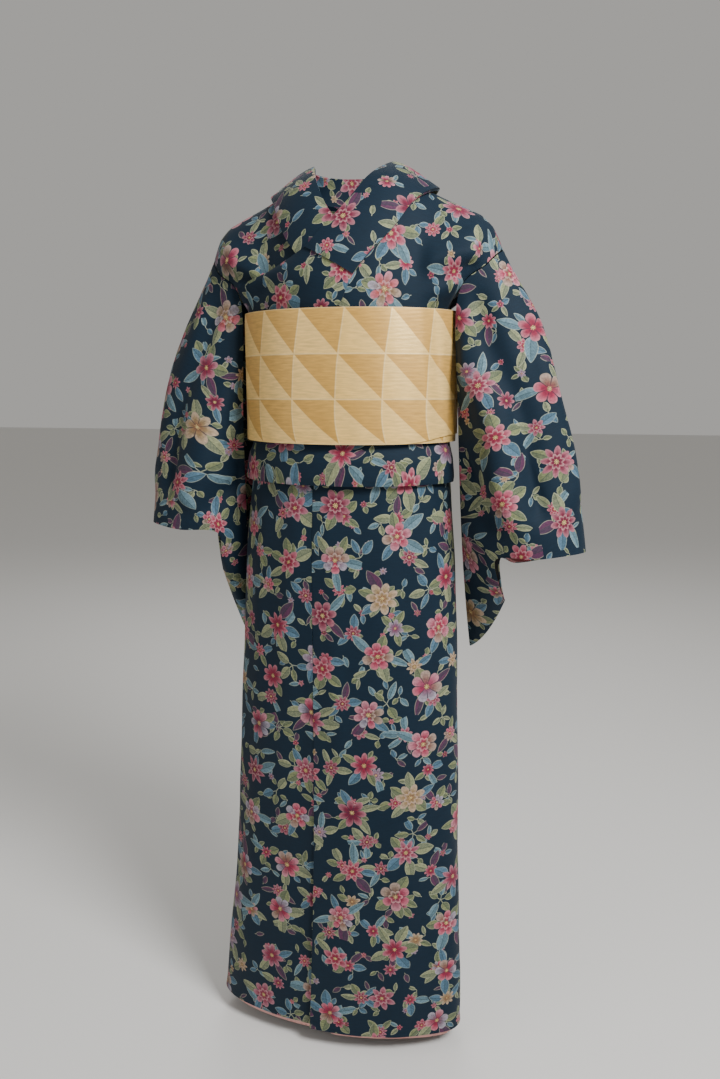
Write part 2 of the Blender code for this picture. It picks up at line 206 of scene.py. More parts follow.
# Creases of each piece: start across and down, end across and down (shares of
# the piece), width in metres, depth in metres, a ridge where it is positive.
CREASES = {
    "skirt_front_left": (
        (0.93, 0.00, 0.88, 0.55, 0.012, 0.0021),
        (0.60, 0.00, 0.66, 0.34, 0.017, 0.0024),
        (0.36, 0.02, 0.42, 0.52, 0.022, 0.0028),
        (0.55, 0.42, 0.60, 1.02, 0.027, 0.0038),
        (0.20, 0.30, 0.26, 1.02, 0.026, 0.0031),
        (0.80, 0.60, 0.84, 1.02, 0.021, 0.0024),
    ),
    "okumi_left": (
        (0.07, 0.36, 0.10, 1.02, 0.014, -0.0018),
        (0.10, 0.00, 0.30, 0.60, 0.017, 0.0024),
        (0.50, 0.00, 0.52, 0.42, 0.015, 0.0021),
        (0.44, 0.40, 0.62, 1.02, 0.026, 0.0038),
        (0.82, 0.30, 0.90, 1.02, 0.018, 0.0024),
    ),
    "skirt_back_left": (
        (0.30, 0.04, 0.22, 0.62, 0.024, -0.0056),
        (0.55, 0.02, 0.50, 0.50, 0.027, 0.0050),
        (0.78, 0.10, 0.70, 0.95, 0.032, -0.0059),
        (0.40, 0.50, 0.36, 1.02, 0.032, 0.0056),
    ),
    "skirt_back_right": (
        (0.26, 0.02, 0.30, 0.55, 0.026, 0.0050),
        (0.50, 0.06, 0.46, 0.80, 0.027, -0.0059),
        (0.74, 0.02, 0.72, 0.48, 0.024, 0.0043),
        (0.66, 0.45, 0.60, 1.02, 0.034, 0.0059),
    ),
    "bodice_left": (
        (0.06, 0.395, 0.50, 0.345, 0.012, 0.0054),
        (0.05, 0.375, 0.34, 0.325, 0.010, -0.0047),
        (0.16, 0.440, 0.56, 0.370, 0.014, 0.0040),
        (0.10, 0.130, 0.34, 0.112, 0.010, 0.0032),
        (0.45, 0.128, 0.80, 0.118, 0.009, 0.0025),
        (0.08, 0.620, 0.42, 0.700, 0.016, 0.0054),
        (0.04, 0.650, 0.30, 0.730, 0.012, -0.0054),
        (0.20, 0.560, 0.62, 0.660, 0.020, 0.0040),
    ),
    "bodice_right": (
        (0.05, 0.395, 0.46, 0.340, 0.012, 0.0050),
        (0.04, 0.370, 0.36, 0.322, 0.010, -0.0047),
        (0.14, 0.430, 0.50, 0.365, 0.014, 0.0040),
        (0.06, 0.620, 0.40, 0.705, 0.016, 0.0054),
        (0.05, 0.655, 0.34, 0.735, 0.012, -0.0054),
        (0.24, 0.560, 0.66, 0.655, 0.020, 0.0036),
    ),
    "sleeve_left": (
        (0.52, 0.10, 0.60, 1.00, 0.018, 0.0096),
        (0.60, 0.02, 0.68, 0.95, 0.016, -0.0101),
        (0.66, 0.00, 0.76, 0.88, 0.018, 0.0092),
        (0.78, 0.05, 0.82, 0.70, 0.016, -0.0069),
        (0.46, 0.15, 0.36, 0.98, 0.019, 0.0101),
        (0.40, 0.02, 0.28, 0.90, 0.018, -0.0105),
        (0.30, 0.10, 0.22, 0.80, 0.018, 0.0082),
    ),
    "sleeve_right": (
        (0.50, 0.12, 0.56, 1.00, 0.018, 0.0088),
        (0.58, 0.04, 0.64, 0.98, 0.016, -0.0105),
        (0.68, 0.02, 0.72, 0.90, 0.018, 0.0092),
        (0.76, 0.10, 0.82, 0.72, 0.014, -0.0069),
        (0.44, 0.10, 0.36, 0.96, 0.019, 0.0105),
        (0.38, 0.04, 0.30, 0.86, 0.016, -0.0101),
        (0.28, 0.12, 0.20, 0.78, 0.018, 0.0082),
    ),
}


def linear(red, green, blue, alpha=1.0):
    """Linear colour of a screen colour given in 0 to 255."""
    values = []
    for part in (red, green, blue):
        share = part / 255.0
        values.append(share / 12.92 if share <= 0.04045 else ((share + 0.055) / 1.055) ** 2.4)
    return (*values, alpha)


def smooth(value):
    value = np.clip(value, 0.0, 1.0)
    return value * value * (3.0 - 2.0 * value)


def blend(low, high, share):
    return low + (high - low) * share


def curve(points, position):
    """Points at positions, counted in points, on a smooth curve through points."""
    points = np.asarray(points, float)
    position = np.asarray(position, float)
    last = len(points) - 1
    index = np.clip(position.astype(int), 0, last - 1)
    share = position - index
    start = points[index]
    end = points[index + 1]
    first = (index > 0).reshape(index.shape + (1,) * (points.ndim - 1))
    final = (index + 2 <= last).reshape(index.shape + (1,) * (points.ndim - 1))
    before = np.where(first, points[np.maximum(index - 1, 0)], start * 2.0 - end)
    after = np.where(final, points[np.minimum(index + 2, last)], end * 2.0 - start)
    share = share.reshape(share.shape + (1,) * (points.ndim - 1))
    lean_start = (end - before) * 0.5
    lean_end = (after - start) * 0.5
    square = share * share
    cube = square * share
    return (
        start * (2.0 * cube - 3.0 * square + 1.0)
        + lean_start * (cube - 2.0 * square + share)
        + end * (3.0 * square - 2.0 * cube)
        + lean_end * (cube - square)
    )


def lookup(rows, key):
    """Smoothed values of a table's other columns at values of its first."""
    table = np.asarray(sorted(rows), float)
    key = np.clip(np.asarray(key, float), table[0, 0], table[-1, 0])
    index = np.clip(np.searchsorted(table[:, 0], key, side="right") - 1, 0, len(table) - 2)
    start = table[index, 0]
    share = (key - start) / (table[index + 1, 0] - start)
    found = curve(table[:, 1:], index + share)
    return [found[..., column] for column in range(found.shape[-1])]


def torso_base(angle, level):
    """Points of the torso form: level in metres below the chest, arch above it."""
    angle, level = np.broadcast_arrays(np.asarray(angle, float), np.asarray(level, float))
    turn = np.radians(angle)
    height = CHEST_HEIGHT + np.minimum(level, 0.0)
    half, front, back, shift = lookup(SECTIONS, height)
    depth = np.where(np.abs(angle) <= 90.0, front, back)
    low_x = half * np.sin(turn) + shift
    low_y = -depth * np.cos(turn)
    share = angle / 90.0
    behind = np.abs(angle) > 90.0
    share = np.where(behind, np.copysign((180.0 - np.abs(angle)) / 90.0, angle), share)
    reach = SHOULDER_REACH * share
    top = lookup(SHOULDER, np.abs(reach))[0]
    arch = np.maximum(level, 0.0)
    rise = np.sin(arch * math.pi / 2.0)
    fall = np.maximum(0.0, np.cos(arch * math.pi / 2.0))
    fall = np.where(behind, fall ** 0.6, fall)
    return np.stack((
        blend(low_x, reach, arch * arch),
        blend(SHOULDER_Y, low_y, fall),
        blend(height, top, rise),
    ), axis=-1)


def torso(angle, level, out):
    """Points of the torso form moved out by a distance along its normal."""
    angle, level = np.broadcast_arrays(np.asarray(angle, float), np.asarray(level, float))
    point = torso_base(angle, level)
    side = torso_base(angle + 0.5, level) - torso_base(angle - 0.5, level)
    above = level > 0.0
    low = np.where(above, np.maximum(0.0, level - 0.01), level - 0.01)
    high = np.where(above, np.minimum(1.0, level + 0.01), np.minimum(0.0, level + 0.01))
    rise = torso_base(angle, high) - torso_base(angle, low)
    normal = np.cross(side, rise)
    size = np.linalg.norm(normal, axis=-1, keepdims=True)
    normal = np.where(size < 1e-9, np.array((0.0, 0.0, 1.0)), normal / np.maximum(size, 1e-9))
    return point + normal * np.asarray(out, float)[..., None]


def sleeve_point(around, along, side):
    """Points of a sleeve: share round it from the top fold, share of its width."""
    around, along = np.broadcast_arrays(np.asarray(around, float), np.asarray(along, float))
    shares = np.array([row[0] for row in SLEEVE])
    index = np.clip(np.searchsorted(shares, around, side="right") - 1, 0, len(SLEEVE) - 2)
    position = index + (around - shares[index]) / (shares[index + 1] - shares[index])
    armhole, cuff, swell = (
        curve([row[column] for row in SLEEVE], position) for column in (1, 2, 3)
    )
    width = along[..., None]
    point = blend(armhole, cuff, width) + swell * 4.0 * width * (1.0 - width)
    low = (1.0 - along) * smooth((np.abs(around) - 0.5) / 0.5)
    point[..., 0] += SLEEVE_SPREAD * side * along
    point[..., 2] += side * (TIP_DROP * low - SLEEVE_DROP * along)
    point[..., 0] *= side
    return point


def gore_seam_angle(height, side):
    half = lookup(SECTIONS, height)[0]
    return -side * np.degrees(np.arcsin(OKUMI_SEAM_X / half))


def gore_step(angle, height, side):
    """Distance that the front panel stands in front of the gore beside it."""
    near = side * (angle - gore_seam_angle(height, side))
    depth = lookup(GORE_STEP, height)[0] * (1.0 - smooth(near / 75.0))
    return np.where(near > 0.0, depth, 0.0)


def skirt_out(angle, height, side, over):
    """Distance of a skirt panel from the torso form."""
    if not over:
        return np.zeros(np.broadcast(angle, height).shape)
    layers = 1.0 + 0.9 * smooth((-height - 0.90) / 0.18)
    out = LAYER * layers * smooth((SIDE_SEAM - side * angle) / 30.0)
    return out + gore_step(angle, height, side)


def chest_out(angle, level, side):
    """Rise of the left bodice over the right one and its collar."""
    if side < 0.0:
        return np.zeros(np.broadcast(angle, level).shape)
    rise = CROSSING * smooth((88.0 - angle) / 14.0)
    rise = rise * smooth((1.0 - np.maximum(level, 0.0)) / 0.5)
    return np.where(np.abs(angle) >= 90.0, 0.0, rise)


def bodice_out(angle, level, side, folded_in):
    """Distance of a bodice from the torso form, over the layers below it."""
    left = side > 0.0
    front = smooth((SIDE_SEAM - side * angle) / (25.0 if left else 14.0))
    front = np.where(np.abs(angle) >= SIDE_SEAM, 0.0, front)
    tuck = blend(1.0, 4.0 if left else 2.0, front) + np.where(folded_in, 0.0, 1.0)
    belt = blend(1.0, 3.0 if left else 2.0, front)
    layers = blend(tuck, belt, smooth((level + 0.196) / 0.023))
    return blend(layers * LAYER, chest_out(angle, level, side), smooth((level + 0.135) / 0.05))


def armhole_pull(angle, level, side, facing):
    """Shift of a body panel near its armhole, out to where the sleeve is sewn."""
    reach = smooth(1.0 - np.abs(90.0 - side * angle) / 45.0) * np.clip(level / 0.06, 0.0, 1.0)
    outer = (90.0 - 0.25 * facing) * side + np.zeros_like(reach)
    arch = np.clip(level, 0.0, 1.0) + np.zeros_like(reach)
    rim = torso(outer, arch, chest_out(outer, arch, side) + CLOTH / 2.0)
    around = blend(0.25, 0.008, arch ** 0.8) * facing
    return (sleeve_point(around, np.zeros_like(reach), side) - rim) * reach[..., None]


def panel_edge(level, side):
    """Angle of a body panel's front edge at a level."""
    edge = FRONT_EDGE if side > 0.0 else UNDER_EDGE
    deep = np.clip((-level - 0.010) / 0.140, 0.0, 1.0)
    low = blend(NECKLINE[0][1] * 90.0 * side, -edge * side, deep)
    return np.where(level >= 0.0, lookup(NECKLINE, level)[0] * 90.0 * side, low)


def collar_station(index, across, side):
    """Points of the collar at a station of its path and shares of its width."""
    if index >= len(COLLAR_FRONT):
        outer, inner = COLLAR_BACK[index - len(COLLAR_FRONT)]
        point = blend(np.array(outer), np.array(inner), across[..., None])
        point[..., 0] *= side
        return point
    outer, outer_arch, inner, inner_arch, rise = COLLAR_FRONT[index]
    angle = blend(outer, inner, across) * 90.0 * side
    level = blend(outer_arch, inner_arch, across)
    out = CLOTH + COLLAR_GAP + COLLAR_CLOTH / 2.0
    if side > 0.0:
        high = smooth((angle + 56.0) / 26.0)
        low = smooth((angle + 24.0) / 22.0)
        out = out + chest_out(angle, level, side) * blend(low, high, smooth(level / 0.12))
    out = out + 0.0064 * smooth((np.abs(angle) - 38.0) / 28.0)
    out = out + 0.0008 * smooth((level - 0.4) / 0.4)
    pull = np.zeros(across.shape + (3,))
    for half in (1.0, -1.0):
        mine = (np.copysign(1.0, angle) == half)[..., None]
        pull = np.where(mine, armhole_pull(angle, level, half, 1.0), pull)
    point = torso(angle, level, out) + pull
    point[..., 2] += rise * across
    return point


def grid_normals(points):
    """Unit normals of a grid of points."""
    across = np.gradient(points, axis=1)
    down = np.gradient(points, axis=0)
    normal = np.cross(across, down)
    size = np.linalg.norm(normal, axis=-1, keepdims=True)
    return normal / np.maximum(size, 1e-12)


def summed_lay(points):
    """Places of a grid's points on flat cloth, by adding up its lines' lengths."""
    across = np.linalg.norm(np.diff(points, axis=1), axis=-1)
    down = np.linalg.norm(np.diff(points, axis=0), axis=-1)
    width = np.concatenate((np.zeros((points.shape[0], 1)), np.cumsum(across, axis=1)), axis=1)
    length = np.concatenate((np.zeros((1, points.shape[1])), np.cumsum(down, axis=0)), axis=0)
    return np.stack((width, length), axis=-1)


def relaxed_lay(points, steps=60):
    """Places of a grid's points on flat cloth, every triangle kept near its own shape."""
    rows, columns = points.shape[:2]
    grid = np.arange(rows * columns).reshape(rows, columns)
    corners = [grid[:-1, :-1], grid[:-1, 1:], grid[1:, 1:], grid[1:, :-1]]
    first, second, third, fourth = (corner.ravel() for corner in corners)
    triangles = np.concatenate((
        np.stack((first, second, third), axis=1), np.stack((first, third, fourth), axis=1)
    ))
    spots = points.reshape(-1, 3)
    base = spots[triangles[:, 1]] - spots[triangles[:, 0]]
    other = spots[triangles[:, 2]] - spots[triangles[:, 0]]
    length = np.maximum(np.linalg.norm(base, axis=1), 1e-9)
    along = np.sum(base * other, axis=1) / length
    aside = np.sqrt(np.maximum(np.sum(other * other, axis=1) - along ** 2, 0.0))
    own = np.zeros((len(triangles), 3, 2))
    own[:, 1, 0] = length
    own[:, 2, 0] = along
    own[:, 2, 1] = aside
    ends = np.stack((triangles, np.roll(triangles, -1, axis=1)), axis=-1).reshape(-1, 2)
    wanted = (own - np.roll(own, -1, axis=1)).reshape(-1, 2)
    ties = np.zeros((len(spots), len(spots)))
    np.add.at(ties, (ends[:, 0], ends[:, 0]), 1.0)
    np.add.at(ties, (ends[:, 1], ends[:, 1]), 1.0)
    np.add.at(ties, (ends[:, 0], ends[:, 1]), -1.0)
    np.add.at(ties, (ends[:, 1], ends[:, 0]), -1.0)
    ties[0, 0] += 1.0
    solve = np.linalg.inv(ties)
    flat = summed_lay(points).reshape(-1, 2)
    for _ in range(steps):
        have = (flat[ends[:, 0]] - flat[ends[:, 1]]).reshape(-1, 3, 2)
        want = wanted.reshape(-1, 3, 2)
        cos = np.sum(have * want, axis=(1, 2))
        sin = np.sum(have[..., 1] * want[..., 0] - have[..., 0] * want[..., 1], axis=1)
        size = np.maximum(np.hypot(cos, sin), 1e-12)
        cos = (cos / size)[:, None]
        sin = (sin / size)[:, None]
        turned = np.stack((
            want[..., 0] * cos - want[..., 1] * sin, want[..., 0] * sin + want[..., 1] * cos
        ), axis=-1).reshape(-1, 2)
        pull = np.zeros_like(flat)
        np.add.at(pull, ends[:, 0], turned)
        np.add.at(pull, ends[:, 1], -turned)
        flat = solve @ pull
    return flat.reshape(rows, columns, 2)


def flat_lay(place, columns, rows):
    """Flat cloth of a piece: places worked out on a coarse grid, then filled in."""
    few_columns = min(36, max(4, columns // 4))
    few_rows = min(36, max(4, rows // 4))
    down, across = np.meshgrid(
        np.linspace(0.0, 1.0, few_rows + 1), np.linspace(0.0, 1.0, few_columns + 1),
        indexing="ij",
    )
    coarse = relaxed_lay(place(across, down))
    lean = coarse[few_rows // 2 + 1, few_columns // 2] - coarse[few_rows // 2 - 1, few_columns // 2]
    lean = lean / np.linalg.norm(lean)
    turned = np.stack((
        coarse[..., 0] * lean[1] - coarse[..., 1] * lean[0],
        coarse[..., 0] * lean[0] + coarse[..., 1] * lean[1],
    ), axis=-1)
    turned = turned - turned.min(axis=(0, 1))
    tall = curve(turned, np.linspace(0.0, few_rows, rows + 1))
    wide = curve(tall.swapaxes(0, 1), np.linspace(0.0, few_columns, columns + 1))
    return wide.swapaxes(0, 1)


def crease_depth(name, width, length):
    """Depth of a piece's creases over its flat cloth, with a slight unevenness."""
    rows, columns = width.shape
    depth = np.zeros_like(width)
    for number, (a0, d0, a1, d1, wide, deep) in enumerate(CREASES.get(name, ())):
        ends = []
        for across, down in ((a0, d0), (a1, d1)):
            row = min(rows - 1, max(0, round(down * (rows - 1))))
            column = min(columns - 1, max(0, round(across * (columns - 1))))
            ends.append((width[row, column], length[row, column]))
        (x0, y0), (x1, y1) = ends
        run_x = x1 - x0
        run_y = y1 - y0
        reach = max(1e-6, math.hypot(run_x, run_y))
        along = ((width - x0) * run_x + (length - y0) * run_y) / reach
        sway = 0.22 * wide * np.sin(along * 34.0 + number * 1.7)
        aside = ((width - x0) * run_y - (length - y0) * run_x) / reach + sway
        share = along / reach
        fade = smooth((share + 0.12) / 0.3) * smooth((1.12 - share) / 0.3)
        uneven = 1.0 + 0.25 * np.sin(along * 21.0 + number * 2.3)
        depth += deep * fade * uneven * np.exp(-(aside / wide) ** 2)
    return depth


def ripple(width, length, size, amount, phase):
    """Low, wide unevenness of cloth, the sum of a few crossed waves."""
    total = np.zeros_like(width)
    for number, (turn, scale) in enumerate(((0.3, 1.0), (1.4, 1.31), (2.2, 0.77), (2.9, 1.63))):
        run = (width * math.cos(turn) + length * math.sin(turn)) * scale / size
        total += np.sin(run * 2.0 * math.pi + phase + number * 2.1)
    return total * amount / 4.0


def make_cloth(name, columns, rows, place, thickness, material, start=(0.0, 0.0), **look):
    """Thin closed shell of cloth on a grid, with creases and a flat-cloth UV map."""
    body = bmesh.new()
    bmesh.ops.create_grid(body, x_segments=columns, y_segments=rows, size=0.5)
    body.verts.ensure_lookup_table()
    raw = np.array([vertex.co[:2] for vertex in body.verts]) + 0.5
    column = np.rint(raw[:, 0] * columns).astype(int)
    row = np.rint(raw[:, 1] * rows).astype(int)
    down, across = np.meshgrid(
        np.linspace(0.0, 1.0, rows + 1), np.linspace(0.0, 1.0, columns + 1), indexing="ij"
    )
    points = place(across, down)
    flat = summed_lay(points) if look.get("summed") else flat_lay(place, columns, rows)
    width, length = flat[..., 0], flat[..., 1]
    normals = grid_normals(points)
    outward = look.get("outward")
    inside = points.mean(axis=(0, 1)) if outward is None else outward(points)
    if np.mean(np.sum(normals * (points - inside), axis=-1)) < 0.0:
        normals = -normals
    drape = bpy.context.scene.kimono_drape
    depth = crease_depth(name, width, length) * drape.crease
    depth = depth + ripple(width, length, look.get("wave", 0.11), look.get("swell", 0.0), len(name))
    if "shape" in look:
        depth = depth + look["shape"](across, down, width, length)
    depth = depth * look["keep"](across, down) if "keep" in look else depth
    points = points + normals * depth[..., None]
    for vertex, co in zip(body.verts, points[row, column]):
        vertex.co = Vector(co)
    layer = body.loops.layers.uv.new("Flat cloth")
    flat_width = width[row, column] + start[0]
    flat_length = length[row, column] + start[1]
    body.verts.index_update()
    for face in body.faces:
        for loop in face.loops:
            number = loop.vert.index
            loop[layer].uv = (flat_width[number], flat_length[number])
    if look.get("tube"):
        bmesh.ops.remove_doubles(body, verts=body.verts, dist=0.00005)
    body.normal_update()
    bmesh.ops.recalc_face_normals(body, faces=body.faces)
    mesh = bpy.data.meshes.new(name + "_cloth")
    body.to_mesh(mesh)
    body.free()
    piece = bpy.data.objects.new(name + "_cloth", mesh)
    bpy.context.scene.collection.objects.link(piece)
    mesh.materials.append(material)
    wall = piece.modifiers.new("Cloth", "SOLIDIFY")
    wall.thickness = thickness
    wall.offset = 0.0
    wall.use_even_offset = False
    finished = bpy.data.meshes.new_from_object(
        piece.evaluated_get(bpy.context.evaluated_depsgraph_get())
    )
    piece.modifiers.clear()
    piece.data = finished
    bpy.data.meshes.remove(mesh)
    finished.name = name + "_cloth"
    finished.shade_smooth()
    finished.set_sharp_from_angle(angle=math.radians(50.0))
    return piece


def finish_piece(piece, node):
    """Attach a piece of cloth to the root body and hide the CAD part of the same name."""
    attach(piece, "root")
    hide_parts(node)


class Wire:
    """A value in a node tree that arithmetic adds nodes to."""

    def __init__(self, tree, socket):
        self.tree = tree
        self.socket = socket

    def feed(self, target):
        if isinstance(self.socket, (int, float)):
            target.default_value = self.socket
        else:
            self.tree.links.new(self.socket, target)

    def math(self, operation, *others, clamp=False):
        node = self.tree.nodes.new("ShaderNodeMath")
        node.operation = operation
        node.use_clamp = clamp
        for number, value in enumerate((self, *others)):
            if isinstance(value, Wire):
                value.feed(node.inputs[number])
            else:
                node.inputs[number].default_value = value
        return Wire(self.tree, node.outputs[0])

    def __add__(self, other):
        return self.math("ADD", other)

    def __sub__(self, other):
        return self.math("SUBTRACT", other)

    def __mul__(self, other):
        return self.math("MULTIPLY", other)

    def __truediv__(self, other):
        return self.math("DIVIDE", other)

    def __pow__(self, other):
        return self.math("POWER", other)

    def floor(self):
        return self.math("FLOOR")

    def part(self):
        return self.math("FRACT")

    def size(self):
        return self.math("ABSOLUTE")

    def above(self, level, soft=0.0):
        """Mask where the value is above a level, with a soft edge."""
        if soft == 0.0:
            return self.math("GREATER_THAN", level)
        return (self - level).math("DIVIDE", soft).math("ADD", 0.5, clamp=True)

    def below(self, level, soft=0.0):
        return self.above(level, soft).flip()

    def flip(self):
        return Wire(self.tree, 1.0).math("SUBTRACT", self)


class Sketch:
    """A node group under construction, with named inputs and outputs."""

    def __init__(self, name, inputs, outputs):
        self.tree = bpy.data.node_groups.new(name, "ShaderNodeTree")
        kinds = {"f": "NodeSocketFloat", "v": "NodeSocketVector", "c": "NodeSocketColor"}
        for label, kind, value in inputs:
            socket = self.tree.interface.new_socket(
                name=label, in_out="INPUT", socket_type=kinds[kind]
            )
            if value is not None:
                socket.default_value = value
        for label, kind in outputs:
            self.tree.interface.new_socket(name=label, in_out="OUTPUT", socket_type=kinds[kind])
        self.source = self.tree.nodes.new("NodeGroupInput")
        self.target = self.tree.nodes.new("NodeGroupOutput")

    def given(self, label):
        return Wire(self.tree, self.source.outputs[label])

    def value(self, number):
        return Wire(self.tree, number)

    def node(self, kind, **settings):
        node = self.tree.nodes.new(kind)
        for label, value in settings.items():
            setattr(node, label, value)
        return node

    def split(self, vector):
        node = self.node("ShaderNodeSeparateXYZ")
        vector.feed(node.inputs[0])
        return [Wire(self.tree, output) for output in node.outputs]

    def join(self, *parts):
        node = self.node("ShaderNodeCombineXYZ")
        for number, part in enumerate(parts):
            if isinstance(part, Wire):
                part.feed(node.inputs[number])
            else:
                node.inputs[number].default_value = part
        return Wire(self.tree, node.outputs[0])

    def chance(self, *parts):
        """Four random values for whole numbers: one, then three more."""
        node = self.node("ShaderNodeTexWhiteNoise", noise_dimensions="3D")
        self.join(*parts).feed(node.inputs["Vector"])
        split = self.node("ShaderNodeSeparateColor")
        self.tree.links.new(node.outputs["Color"], split.inputs[0])
        return [Wire(self.tree, node.outputs["Value"])] + [
            Wire(self.tree, output) for output in split.outputs[:3]
        ]

    def mix(self, mask, low, high):
        """Colour between two, each a colour or a wire."""
        node = self.node("ShaderNodeMix", data_type="RGBA")
        mask.feed(node.inputs["Factor"])
        for value, socket in ((low, node.inputs[6]), (high, node.inputs[7])):
            if isinstance(value, Wire):
                value.feed(socket)
            else:
                socket.default_value = value
        return Wire(self.tree, node.outputs[2])

    def ramp(self, value, stops, steps=False):
        node = self.node("ShaderNodeValToRGB")
        ramp = node.color_ramp
        ramp.interpolation = "CONSTANT" if steps else "LINEAR"
        while len(ramp.elements) < len(stops):
            ramp.elements.new(0.5)
        for element, (place, colour) in zip(ramp.elements, stops):
            element.position = place
            element.color = colour
        value.feed(node.inputs[0])
        return Wire(self.tree, node.outputs[0])

    def give(self, label, wire):
        wire.feed(self.target.inputs[label])


LEAF_COLOURS = (
    (0.00, linear(128, 134, 92)),
    (0.34, linear(88, 120, 142)),
    (0.54, linear(146, 150, 112)),
    (0.76, linear(92, 48, 76)),
    (0.86, linear(110, 140, 152)),
)
PETAL_COLOURS = (
    (0.00, linear(166, 58, 80)),
    (0.40, linear(152, 74, 94)),
    (0.64, linear(138, 38, 62)),
    (0.84, linear(172, 164, 114)),
    (0.92, linear(116, 134, 150)),
)
ODD_PETAL_COLOURS = (
    (0.00, linear(186, 62, 88)),
    (0.36, linear(134, 158, 172)),
    (0.54, linear(190, 112, 126)),
    (0.76, linear(142, 140, 106)),
)
HEART_COLOURS = (
    (0.00, linear(124, 22, 50)),
    (0.64, linear(96, 20, 46)),
    (0.84, linear(134, 84, 58)),
    (0.92, linear(134, 40, 74)),
)


